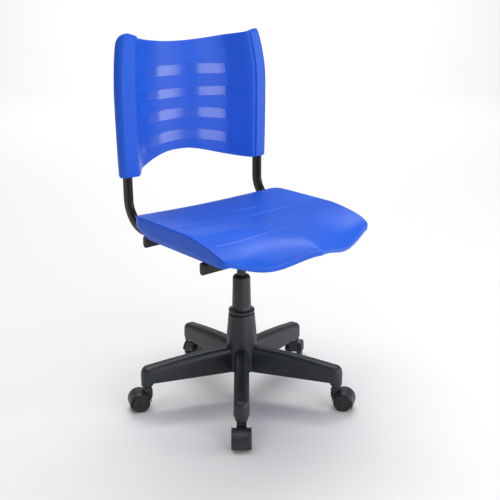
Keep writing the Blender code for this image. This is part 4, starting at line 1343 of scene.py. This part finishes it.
# ------------------------------------------------------------------ tube frame
@dataclass
class TubeFrame:
    """Two bent oval side tubes and two cross tubes, with their plugs, saddles and welds."""

    wide: float = 0.030
    narrow: float = 0.016
    bend: float = 0.063
    steps: int = 28
    saddle_x: float = 0.1925
    spacer_x: float = 0.054
    # length and thickness of a saddle or spacer
    pad: tuple[float, float] = (0.022, 0.007)

    def side(self, label: str) -> None:
        """Make one side tube and its plug.

        Args:
            label: left or right.
        """
        low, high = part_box(f"side_frame_{label}")
        x, rail, post = (low[0] + high[0]) / 2, low[2] + self.wide / 2, high[1] - self.wide / 2
        centre_y, centre_z = post - self.bend, rail + self.bend
        path = [(low[1], rail, 0.0)]
        path += [(centre_y + self.bend * math.sin(turn), centre_z - self.bend * math.cos(turn), turn)
                 for turn in quarter(self.steps)]
        path.append((post, high[2], math.pi / 2))
        rings = [oval_ring(Vector((x, y, z)), Vector((0, -math.sin(turn), math.cos(turn))), X_WAY,
                           self.wide, self.narrow) for y, z, turn in path]
        piece(f"side_tube_{label}", lofted(rings), Finish.PAINT, "seat", [f"side_frame_{label}"])
        self.plug(f"rail_plug_{label}", Vector((x, low[1], rail)), Vector((0, -1, 0)))

    def plug(self, node: str, mouth: Vector, outward: Vector) -> None:
        """Make a plug: a rounded head over a tube's mouth.

        Args:
            node: The CAD node that it stands for.
            mouth: Centre of the tube's end.
            outward: The way that the tube's end faces.
        """
        stations = [(-0.004, 0.0034), (FIT, 0.0034), (FIT, FIT), (0.0012, 0.0), (0.0021, 0.0)]
        stations += [(0.0021 + 0.0021 * math.sin(turn), 0.0042 * (1 - math.cos(turn)))
                     for turn in quarter(6, 1)]
        rings = [oval_ring(mouth + outward * depth, Z_WAY, outward.cross(Z_WAY), self.wide - less,
                           self.narrow - less) for depth, less in stations]
        piece(node, lofted(rings), Finish.PLUG, "seat", [node])

    def cross(self, label: str) -> list[tuple[Vector, Vector]]:
        """Make one cross tube with its saddles and plugs.

        Args:
            label: front or rear.

        Returns:
            The lines that its welds follow.
        """
        low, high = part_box(f"cross_tube_{label}")
        front = label == "front"
        y, z = (low.y + high.y) / 2, low.z + self.wide / 2 if front else high.z - self.wide / 2
        ends = (low.x, high.x)
        rings = [oval_ring(Vector((x, y, z)), Z_WAY, Y_WAY, self.wide, self.narrow) for x in ends]
        shape, welds = lofted(rings), []
        bottom, top = (z + 0.013, high.z) if front else (low.z, z - 0.013)
        seam = top - 0.0006 if front else bottom + 0.0010
        half, deep = self.pad[0] / 2, self.pad[1] / 2
        for side in (-1, 1):
            x = side * (self.saddle_x if front else self.spacer_x)
            shape.add(box_shape((x - half, y - deep, bottom), (x + half, y + deep, top)))
            welds += [(Vector((x - 0.010, y + edge, seam)), Vector((x + 0.010, y + edge, seam)))
                      for edge in (-0.0042, 0.0042)]
        for side, hand in ((1, "left"), (-1, "right")):
            self.plug(f"{label}_tube_plug_{hand}", Vector((ends[side > 0], y, z)), Vector((side, 0, 0)))
        piece(f"cross_bar_{label}", shape, Finish.PAINT, "seat", [f"cross_tube_{label}"])
        return welds

    def build(self) -> None:
        """Make the frame."""
        LOG.info("tube frame")
        for label in ("left", "right"):
            self.side(label)
        lines = self.cross("front") + self.cross("rear")
        seed = Shape([point for line in lines for point in line])
        edges = [(2 * index, 2 * index + 1) for index in range(len(lines))]
        values = {"Pitch": 0.0011, "Radius": 0.0011, "Finish": MATERIALS[Finish.PAINT]}
        welds = weld_tree().grow("saddle_welds", seed, edges, **values)
        settle(welds, "seat", [])


# ------------------------------------------------------------------ mechanism and lever
@dataclass
class Mechanism:
    """The pressed plate, the taper socket and the height lever."""

    wall: float = 0.003
    bend: float = 0.004
    # length and width of the slots, and their distance from the socket
    slot: tuple[float, float] = (0.030, 0.014)
    slot_x: float = 0.052
    slot_y: float = 0.062
    bar: float = 0.0043

    def plate(self) -> None:
        """Make the pressed plate with its folded sides."""
        low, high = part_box("mechanism_plate")
        half, top, foot, wall = high.x, high.z, low.z, self.wall
        outer = [(-half, foot), (-half, top), (half, top), (half, foot)]
        side, ceiling = half - wall, top - wall
        inner = [(side, foot), (side, ceiling), (-side, ceiling), (-side, foot)]
        blank = extruded(filleted(outer + inner, self.bend, 6), low.y, high.y)
        ends = (foot, top + 0.01)
        holes = [round_bar(radius_of("taper_socket") + FIT, *ends, 64)]
        for x in (-self.slot_x, self.slot_x):
            for y in (-self.slot_y, self.slot_y):
                rings = [oval_ring(Vector((x, y, z)), Y_WAY, X_WAY, *self.slot, 24) for z in ends]
                holes.append(lofted(rings))
        plate = carved("pressed_plate", blank, Finish.PAINT, [], holes)
        settle(plate, "seat", ["mechanism_plate"])

    def socket(self) -> None:
        """Make the socket that the gas cylinder is pressed into."""
        low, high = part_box("taper_socket")
        radius, bore = high.x, radius_of("gas_cylinder") + FIT
        outline = [(bore, low.z), (radius - 0.0018, low.z), (radius, low.z + 0.0030), (radius, high.z),
                   (bore, high.z)]
        piece("press_socket", turned(filleted(outline, 0.0009)), Finish.PAINT, "seat", ["taper_socket"])

    def grip(self) -> None:
        """Make the lever's moulded grip with its finger rings."""
        low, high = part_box("lever_grip")
        start, end = -high.x, -low.x
        radius, length = (high.z - low.z) / 2, end - start
        outline = [(self.bar, start), (radius * 0.66, start), (radius * 0.80, start + 0.003)]
        for step in range(49):
            share = step / 48
            wave = 0.00035 * math.cos(2 * math.pi * 7 * share) * smooth_step((share - 0.35) * 8)
            body = radius * (0.80 + 0.19 * smooth_step(share * 1.15)) - wave - 0.00035
            outline.append((body, start + 0.004 + (length - 0.012) * share))
        outline += [(radius * (0.96 - 0.5 * (1 - math.cos(turn))), end - 0.008 + 0.008 * math.sin(turn))
                    for turn in quarter(6, 1)]
        outline += [(0, end), (0, start + 0.010), (self.bar, start + 0.010)]
        middle = centre("lever_grip")
        place = Matrix.Translation((0, middle.y, middle.z)) @ Matrix.Rotation(-math.pi / 2, 4, "Y")
        piece("lever_handle", turned(outline, 40).moved(place), Finish.PLUG, "lever", ["lever_grip"])

    def build(self) -> None:
        """Make the mechanism."""
        LOG.info("mechanism")
        self.plate()
        self.socket()
        self.grip()


# ------------------------------------------------------------------ gas lift and column
@dataclass
class GasLift:
    """The sliding cylinder, the column tube and the moulded cover with its flared skirt."""

    wall: float = 0.0020
    head: float = 0.024
    rod_hole: float = 0.0033
    tube_wall: float = 0.0018
    tube_floor: float = 0.0032
    floor_hole: float = 0.006
    cover_wall: float = 0.0018
    shoulder: float = 0.019
    step: float = 0.0018

    def cylinder(self) -> None:
        """Make the sliding cylinder with its crimped lower end."""
        low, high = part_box("gas_cylinder")
        radius, bore, hole = high.x, high.x - self.wall, self.rod_hole
        neck, crimp, seat = bore - 0.0018, low.z + 0.0016, high.z - self.head
        outline = [(neck, low.z), (radius, low.z), (radius, high.z - 0.0012), (radius - 0.0012, high.z),
                   (hole, high.z), (hole, seat), (bore, seat), (bore, crimp), (neck, crimp)]
        shape = turned(filleted(outline, 0.0006, 3))
        piece("sliding_cylinder", shape, Finish.GLOSS, "seat", ["gas_cylinder"])

    def tube(self) -> None:
        """Make the tapered column tube."""
        low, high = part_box("column_tube")
        radius, inner, hole, floor = high.x, high.x - self.tube_wall, self.floor_hole, low.z + self.tube_floor
        outline = [(hole, low.z), (radius - 0.0008, low.z), (radius, low.z + 0.060), (radius, high.z),
                   (inner, high.z), (inner, floor), (hole, floor)]
        piece("outer_column", turned(filleted(outline, 0.0006, 3)), Finish.PAINT, "base", ["column_tube"])

    def cover(self) -> None:
        """Make the cover: a collar at the top, a slightly tapered sleeve and a flared skirt."""
        low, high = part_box("column_cover")
        skirt, foot, top, wall = high.x, low.z, high.z, self.cover_wall
        inside, mouth = radius_of("column_tube") + FIT, radius_of("gas_cylinder") + 2 * FIT
        outside, shoulder = inside + wall, foot + self.shoulder
        ledge = outside + self.step
        outline = [(mouth, top - wall), (mouth, top), (outside - 0.0032, top), (outside, top - 0.0042),
                   (ledge, shoulder + 0.001)]
        outline += [(ledge + (skirt - ledge) * (1 - math.cos(turn)),
                     shoulder - (shoulder - foot - 0.007) * math.sin(turn)) for turn in quarter(8)]
        outline += [(skirt, foot), (skirt - wall, foot), (skirt - wall, foot + 0.006),
                    (inside + 0.0028, shoulder - 0.007), (inside, shoulder), (inside, top - wall)]
        piece("sleeve", turned(filleted(outline, 0.0006, 3), 96), Finish.NYLON, "base", ["column_cover"])

    def build(self) -> None:
        """Make the lift."""
        LOG.info("gas lift")
        self.cylinder()
        self.tube()
        self.cover()


# ------------------------------------------------------------------ star base
@dataclass
class StarBase:
    """The moulded five-armed base: hub, hollow arms with ribs, and the casters' bosses."""

    count: int = 5
    underside: float = 0.0735
    root_height: float = 0.0655
    end_height: float = 0.0375
    arm_reach: float = 0.264
    width: float = 0.038
    crest: float = 0.022
    foot_radius: float = 0.0392
    top_radius: float = 0.033
    wall: float = 0.004
    root: float = 0.010
    tip: float = 0.019
    pocket_end: float = 0.233
    # bore, radius and height of the bosses for the casters' stems
    boss: tuple[float, float, float] = (0.0053, 0.0155, 0.020)
    rib_count: int = 5
    rib_start: float = 0.072
    rib_pitch: float = 0.036
    rib_lift: float = 0.019
    # thickness, width and height of a rib
    rib: tuple[float, float, float] = (0.0022, 0.0305, 0.033)

    def stems(self) -> list[Vector]:
        """Axis of each caster's stem on the floor plane."""
        return [footprint(f"caster_{number}_stem") for number in range(1, self.count + 1)]

    def crest_height(self, reach: float) -> float:
        """Height of an arm's crest at a distance from the column."""
        share = min(max((reach - self.foot_radius) / (self.arm_reach - self.foot_radius), 0.0), 1.0)
        return self.underside + self.root_height + (self.end_height - self.root_height) * share ** 1.5

    def section(self, reach: float, top: float, squeeze: float = 1.0) -> list[Vector]:
        """Cross-section of an arm that points along +X.

        Args:
            reach: Distance from the column.
            top: Height of the crest.
            squeeze: Share of the full width.

        Returns:
            The section's points.
        """
        half, flat, foot = self.width / 2 * squeeze, self.crest / 2 * squeeze, self.underside
        tall = top - foot
        shoulder = tall * 0.34
        side = [(half - 0.0012, foot), (half - FIT, foot + FIT), (half, foot + 0.0012)]
        side += [(half - 0.03 * half * share, foot + 0.0012 + (tall - shoulder - 0.0012) * share)
                 for share in (0.33, 0.66, 0.92)]
        corner = Vector((half * 0.97, top - shoulder))
        bulge = Vector(((half + flat) / 2 * 1.04, top - shoulder * 0.34))
        peak = Vector((flat * 0.72, top))
        handle = bulge * 2 - (corner + peak) / 2
        for share in (0.12, 0.3, 0.5, 0.7, 0.88):
            point = corner * (1 - share) ** 2 + handle * (2 * share * (1 - share)) + peak * share ** 2
            side.append((point.x, point.y))
        side += [(flat * 0.66, top), (flat * 0.3, top)]
        return [Vector((reach, y, z)) for y, z in side + [(-y, z) for y, z in reversed(side)]]

    def arm(self, heading: float) -> Shape:
        """One arm, with a rounded tip.

        Args:
            heading: The arm's angle about the column.

        Returns:
            The arm.
        """
        straight = self.arm_reach - self.tip
        reaches = [self.root + (straight - self.root) * step / 24 for step in range(25)]
        rings = [self.section(reach, self.crest_height(reach)) for reach in reaches]
        for turn in (0.97 * turn for turn in quarter(12, 1)):
            height = (self.crest_height(straight) - self.underside) * (0.42 + 0.58 * math.cos(turn) ** 0.8)
            reach = straight + self.tip * math.sin(turn)
            rings.append(self.section(reach, self.underside + height, 0.18 + 0.82 * math.cos(turn)))
        return lofted(rings).moved(Matrix.Rotation(heading, 4, "Z"))

    def pocket(self, heading: float) -> Shape:
        """The hollow under an arm.

        Args:
            heading: The arm's angle about the column.

        Returns:
            The shape to cut away.
        """
        rings = []
        start, end = self.foot_radius + 0.006, self.pocket_end
        for step in range(9):
            reach = start + (end - start) * step / 8
            top = self.crest_height(reach) - self.wall * 1.4
            half, low = self.width / 2 - self.wall, self.underside - 0.010
            side = [(half, low), (half - 0.001, top - 0.022), (self.crest / 2 - 0.003, top)]
            rings.append([Vector((reach, y, z)) for y, z in side + [(-y, z) for y, z in reversed(side)]])
        return lofted(rings).moved(Matrix.Rotation(heading, 4, "Z"))

    def hub(self) -> Shape:
        """The hub that the column stands in.

        Returns:
            The hub, still solid.
        """
        foot, top = self.underside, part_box("star_base")[1][2]
        blend = foot + self.root_height
        outline = [(0, foot), (self.foot_radius, foot), (self.foot_radius, blend - 0.02),
                   (self.foot_radius - 0.0008, blend + 0.03), (self.top_radius + 0.0004, top - 0.0035),
                   (self.top_radius - 0.003, top), (0, top)]
        return turned(filleted(outline, 0.0045, 6), 96)

    def build(self) -> None:
        """Make the base."""
        LOG.info("star base with %d arms", self.count)
        stems = self.stems()
        headings = [math.atan2(place.y, place.x) for place in stems]
        removed = [self.pocket(heading) for heading in headings]
        removed.append(round_bar(radius_of("column_tube") + FIT, 0, 1))
        base = carved("star", self.hub(), Finish.NYLON, [self.arm(heading) for heading in headings], removed)
        settle(base, "base", ["star_base"])
        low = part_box("star_base")[0].z
        bore, radius, tall = self.boss
        bosses = Shape()
        for place in stems:
            outline = filleted([(bore, low), (radius, low), (radius, low + tall), (bore, low + tall)], 0.0010)
            bosses.add(turned(outline, 48).moved(Matrix.Translation(place)))
        piece("stem_bosses", bosses, Finish.NYLON, "base")
        values = {"Arms": self.count, "Ribs": self.rib_count, "Pitch": self.rib_pitch, "Rib": self.rib,
                  "First": (self.rib_start, 0.0, self.underside + self.rib_lift), "Heading": headings[0],
                  "Finish": MATERIALS[Finish.NYLON]}
        ribs = ribs_tree().grow("arm_ribs", Shape([Vector()]), [], **values)
        settle(ribs, "base", [])


# ------------------------------------------------------------------ casters
@dataclass
class Casters:
    """Five twin-wheel casters: hood, stem, axle and two wheels each."""

    count: int = 5
    trail: float = 0.021
    axle: float = 0.023539
    wheel: float = 0.024
    wheel_width: float = 0.0135
    gap: float = 0.0012
    fender: float = 0.0023
    half: float = 0.0235
    hood_top: float = 0.0595
    neck: float = 0.0105
    inset: float = 0.0009
    clearance: float = 0.0005
    bore: float = 0.0033
    shank: float = 0.005
    # radius and top of the stem's collar
    collar: tuple[float, float] = (0.0085, 0.063)

    @property
    def web(self) -> float:
        """Half the thickness of the web between the wheels."""
        return self.half - self.wheel_width - self.inset

    def place(self, number: int) -> Matrix:
        """Where a caster stands: its stem's axis, turned so that +X points to the axle.

        Args:
            number: The caster's number.

        Returns:
            The placement.
        """
        stem = footprint(f"caster_{number}_stem")
        run = footprint(f"caster_{number}_axle") - stem
        return Matrix.Translation(stem) @ Matrix.Rotation(math.atan2(run.y, run.x), 4, "Z")

    def outboard(self, side: int) -> Matrix:
        """Where a shape turned about Z goes to lie along the axle, facing out on a side."""
        return Matrix.Translation((self.trail, 0, self.axle)) @ Matrix.Rotation(-side * math.pi / 2, 4, "X")

    def hood(self) -> Shape:
        """The hood over the two wheels, at the origin.

        Returns:
            The hood.
        """
        radius = self.wheel + self.gap + self.fender
        outline = [(self.trail + radius * math.cos(turn), self.axle + radius * math.sin(turn))
                   for turn in (math.radians(-28 + 148 * step / 40) for step in range(41))]
        top, neck = self.hood_top, self.neck
        shoulder = [(neck, top - 0.004), (neck - 0.0006, top - 0.0016), (neck - 0.002, top)]
        outline += shoulder + [(-x, z) for x, z in reversed(shoulder)]
        outline += [(-neck, self.axle + 0.016), (-neck + 0.0022, self.axle + 0.008),
                    (-neck + 0.006, self.axle + 0.002), (0.010, self.axle - 0.006),
                    (self.trail, self.axle - 0.010)]
        cuts = []
        for side in (1, -1):
            cuts.append(round_bar(self.wheel + self.gap, self.web, 0.05).moved(self.outboard(side)))
            trim = [(-0.030, 0.0), (-0.0060, 0.0)]
            trim += [(self.trail + radius * math.cos(turn), self.axle + radius * math.sin(turn))
                     for turn in (math.radians(180 - 66 * step / 12) for step in range(13))]
            trim += [(self.trail - 0.004, 0.08), (-0.030, 0.08)]
            cuts.append(extruded(trim, side * 0.0115, side * 0.05))
        slices = []
        for y in [-self.half * math.cos(math.pi * step / 28) for step in range(29)]:
            past = max(0.0, (abs(y) - self.half + 0.0065) / 0.0065)
            shrink = 1 - 0.0021 * (1 - math.sqrt(max(0.0, 1 - past ** 2))) / radius
            slices.append([Vector((self.trail + (x - self.trail) * shrink, y,
                                   self.axle + (z - self.axle) * shrink)) for x, z in outline])
        item = carved("hood", lofted(slices), Finish.NYLON, [], cuts)
        points = [vertex.co.copy() for vertex in item.data.vertices]
        hood = Shape(points, [list(face.vertices) for face in item.data.polygons])
        bpy.data.objects.remove(item, do_unlink=True)
        return hood

    def wheel_shape(self, side: int) -> Shape:
        """One wheel about its axle: crowned tread, rounded shoulder, recessed disc and a cap.

        Args:
            side: 1 for the left wheel and -1 for the right.

        Returns:
            The wheel.
        """
        start = self.web + self.clearance
        end = start + self.wheel_width
        radius, bore = self.axle, self.bore
        outline = [(bore, start), (radius - 0.0012, start), (radius - 0.0004, start + 0.0005),
                   (radius, start + 0.0016)]
        outline += [(radius, start + 0.0016 + (self.wheel_width - 0.0062) * step / 3) for step in (1, 2, 3)]
        outline += [(radius - 0.0036 * (1 - math.cos(turn)), end - 0.0036 + 0.0036 * math.sin(turn) - 0.001)
                    for turn in quarter(6, 1)]
        outline += [(radius - 0.0044, end - 0.0010), (radius - 0.0050, end - 0.0018),
                    (radius - 0.0058, end - 0.0020), (0.0088, end - 0.0014), (0.0082, end - 0.0006),
                    (0.0074, end - 0.0001), (0.0050, end), (0, end), (0, start + 0.009),
                    (bore, start + 0.009)]
        return turned(outline, 96).moved(self.outboard(side))

    def stem(self) -> Shape:
        """The stem, with its collar between the hood and the arm.

        Returns:
            The stem.
        """
        low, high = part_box("caster_1_stem")
        foot, shank, (wide, top) = self.hood_top + FIT, self.shank, self.collar
        outline = [(0, low.z), (shank, low.z), (shank, foot), (wide, foot), (wide, top), (shank, top),
                   (shank, high.z - 0.002), (shank - 0.0015, high.z), (0, high.z)]
        return turned(filleted(outline, 0.0005, 3), 48)

    def build(self) -> None:
        """Make the casters."""
        LOG.info("%d casters", self.count)
        hood, stem = self.hood(), self.stem()
        for number in range(1, self.count + 1):
            place = self.place(number)
            name = f"caster_{number}"
            piece(f"{name}_cowl", hood.moved(place), Finish.NYLON, name, [f"{name}_hood"], 0.0006)
            piece(f"{name}_pintle", stem.moved(place), Finish.ZINC, name, [f"{name}_stem"])
            for side, label in ((1, "left"), (-1, "right")):
                wheel, nodes = self.wheel_shape(side).moved(place), [f"{name}_wheel_{label}"]
                piece(f"{name}_roller_{label}", wheel, Finish.TREAD, f"{name}_{label}", nodes)


# ------------------------------------------------------------------ fasteners
@dataclass
class Fasteners:
    """Pan-head screws under the rails and behind the back."""

    radius: float = 0.0048
    height: float = 0.0028
    shank: float = 0.0022
    length: float = 0.008
    recess: float = 0.0019
    recess_depth: float = 0.0014

    def head(self, name: str) -> bpy.types.Object:
        """A screw's head and shank, pointing up, with a star recess.

        Args:
            name: The object's name.

        Returns:
            The head.
        """
        outline = [(0, -self.length), (self.shank, -self.length), (self.shank, 0), (self.radius, 0)]
        outline += [(self.radius * math.cos(turn), self.height * math.sin(turn))
                    for turn in quarter(8, 1)[:-1]]
        outline += [(0.0004, self.height), (0, self.height)]
        star = []
        for step in range(48):
            turn = 2 * math.pi * step / 48
            reach = self.recess * (1 + 0.16 * math.cos(6 * turn))
            star.append((reach * math.cos(turn), reach * math.sin(turn)))
        ends = (self.height - self.recess_depth, self.height + 0.001)
        tool = lofted([[Vector((x, y, z)) for x, y in star] for z in ends])
        return carved(name, turned(outline, 48), Finish.SCREW, [], [tool])

    def row(self, name: str, points: Sequence[Vector], turn: Sequence[float], nodes: Sequence[str]) -> None:
        """Put a head on each point and fix the row to the seat.

        Args:
            name: Name of the row.
            points: Where the heads sit.
            turn: Rotation that makes a head face outwards.
            nodes: The CAD screws that the row stands for.
        """
        head = self.head(f"{name}_pattern")
        values = {"Head": head, "Turn": tuple(turn), "Finish": MATERIALS[Finish.SCREW]}
        row = heads_tree().grow(name, Shape(list(points)), [], **values)
        bpy.data.objects.remove(head, do_unlink=True)
        settle(row, "seat", nodes)

    def build(self) -> None:
        """Make the screws."""
        LOG.info("fasteners")
        seat = [f"seat_screw_{number}" for number in range(1, 5)]
        places = [footprint(node) + Z_WAY * (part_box(node)[0].z + self.height) for node in seat]
        self.row("rail_screws", places, (math.pi, 0, 0), seat)
        back = ["back_screw_left", "back_screw_right"]
        places = [Vector((centre(node).x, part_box(node)[1].y - self.height, centre(node).z)) for node in back]
        self.row("wing_screws", places, (-math.pi / 2, 0, 0), back)


# ------------------------------------------------------------------ studio
@dataclass(frozen=True)
class Softbox:
    """A large even light that faces the chair."""

    name: str
    place: tuple[float, float, float]
    size: tuple[float, float]
    power: float
    aim: tuple[float, float, float] = (0.0, 0.0, 0.5)

    def build(self) -> None:
        """Make the light."""
        light = bpy.data.lights.new(self.name, "AREA")
        light.shape = "RECTANGLE"
        light.size, light.size_y = self.size
        light.energy = self.power
        item = bpy.data.objects.new(self.name, light)
        item.location = self.place
        item.rotation_euler = (Vector(self.aim) - Vector(self.place)).to_track_quat("-Z", "Y").to_euler()
        item.visible_camera = False
        bpy.context.collection.objects.link(item)


@dataclass
class Studio:
    """A plain pale floor, soft lights and the camera."""

    camera: tuple[float, float, float] = (-1.204, -1.448, 1.011)
    view: tuple[float, float, float] = (0.6158, 0.7238, -0.3112)
    lens: float = 57.6
    white: float = 0.86
    surroundings: float = 0.22
    light_reach: float = 3.0
    light_height: float = 1.05

    def floor(self) -> None:
        """Make the floor."""
        graph = Graph("studio_floor")
        cloud = graph.noise(0.35, 2.0)
        white = (1.0, 1.0, 1.0)
        tone = graph.mixed(cloud, shade(white, self.white), shade(white, self.white * 0.99))
        graph.surface({"Base Color": tone, "Roughness": cloud * 0.1 + 0.6})
        rings = []
        for side in (-20.0, 20.0):
            rise = [(6.0 + 4.0 * math.sin(turn), 4.0 - 4.0 * math.cos(turn))
                    for turn in (math.radians(3 * step) for step in range(17))]
            rings.append([Vector((side, y, z)) for y, z in [(-18.0, 0.0)] + rise])
        count = len(rings[0])
        faces = [[index, index + 1, count + index + 1, count + index] for index in range(count - 1)]
        turn = Matrix.Rotation(-math.atan2(self.view[0], self.view[1]), 4, "Z")
        item = new_object("studio_floor", Shape(rings[0] + rings[1], faces).moved(turn))
        item.data.materials.append(graph.material)

    def beside(self, heading: float) -> tuple[float, float, float]:
        """Place of a standing softbox, by its angle from straight ahead in degrees."""
        turn = math.radians(heading)
        return self.light_reach * math.sin(turn), -self.light_reach * math.cos(turn), self.light_height

    def lights(self) -> None:
        """Make the surroundings and the softboxes."""
        world = bpy.data.worlds.new("studio")
        world.use_nodes = True
        background = world.node_tree.nodes["Background"]
        background.inputs["Color"].default_value = (1.0, 1.0, 1.0, 1.0)
        background.inputs["Strength"].default_value = self.surroundings
        bpy.context.scene.world = world
        ahead = Vector(self.view).normalized()
        boxes = [Softbox("softbox_left_hand", self.beside(49), (1.27, 2.1), 27, (0, 0.2, 0.75)),
                 Softbox("softbox_front", self.beside(-2), (1.7, 2.1), 34, (0, 0.2, 0.75)),
                 Softbox("softbox_fill", (-3.4, -1.2, 1.6), (2.0, 2.0), 8, (0, 0, 0.4)),
                 Softbox("softbox_top", (-0.2, 0.1, 3.4), (3.0, 3.0), 62),
                 Softbox("softbox_backdrop", (ahead.x * 5.0, ahead.y * 5.0, 6.5), (7.0, 4.0), 560,
                         (ahead.x * 8, ahead.y * 8, 1.0))]
        for box in boxes:
            box.build()

    def build(self) -> None:
        """Make the studio."""
        LOG.info("studio")
        bpy.context.scene.view_settings.view_transform = "Standard"
        self.floor()
        self.lights()
        camera = bpy.data.cameras.new("camera")
        camera.lens = self.lens
        item = bpy.data.objects.new("camera", camera)
        item.location = self.camera
        item.rotation_euler = Vector(self.view).to_track_quat("-Z", "Y").to_euler()
        bpy.context.collection.objects.link(item)
        bpy.context.scene.camera = item


# ------------------------------------------------------------------ small steel and rubber parts
def dress(nodes: Iterable[str], finish: Finish) -> None:
    """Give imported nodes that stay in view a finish.

    Args:
        nodes: Names of the nodes.
        finish: Their finish.
    """
    for name in nodes:
        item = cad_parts[name]
        for slot in item.material_slots:
            slot.material = MATERIALS[finish]
        LOG.info("%s keeps its packed shape", name)


def main() -> None:
    """Make every piece, then the studio."""
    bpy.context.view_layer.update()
    rail_low, rail_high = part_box("side_frame_left")
    shell_low, shell_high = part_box("seat_shell")
    SeatShell(shell_high.z, shell_high.x, shell_high.y, -shell_low.y).build()
    BackShell(shell_high.z, rail_high.y - TubeFrame.wide / 2, (rail_low.x + rail_high.x) / 2).build()
    TubeFrame().build()
    Mechanism().build()
    GasLift().build()
    StarBase().build()
    Casters().build()
    Fasteners().build()
    zinc = ["lever_bracket", "lever_pin", "valve_pin", "piston_rod", "retaining_clip", "thrust_bearing"]
    zinc += [f"caster_{number}_axle" for number in range(1, Casters.count + 1)]
    dress(zinc, Finish.ZINC)
    dress(["lever_bar"], Finish.DRAWN)
    dress(["rubber_buffer", "rod_seal", "guide_bush"], Finish.PLUG)
    Studio().build()


if __name__ == "__main__":
    logging.basicConfig(level=logging.INFO, format="%(name)s: %(message)s")
    main()
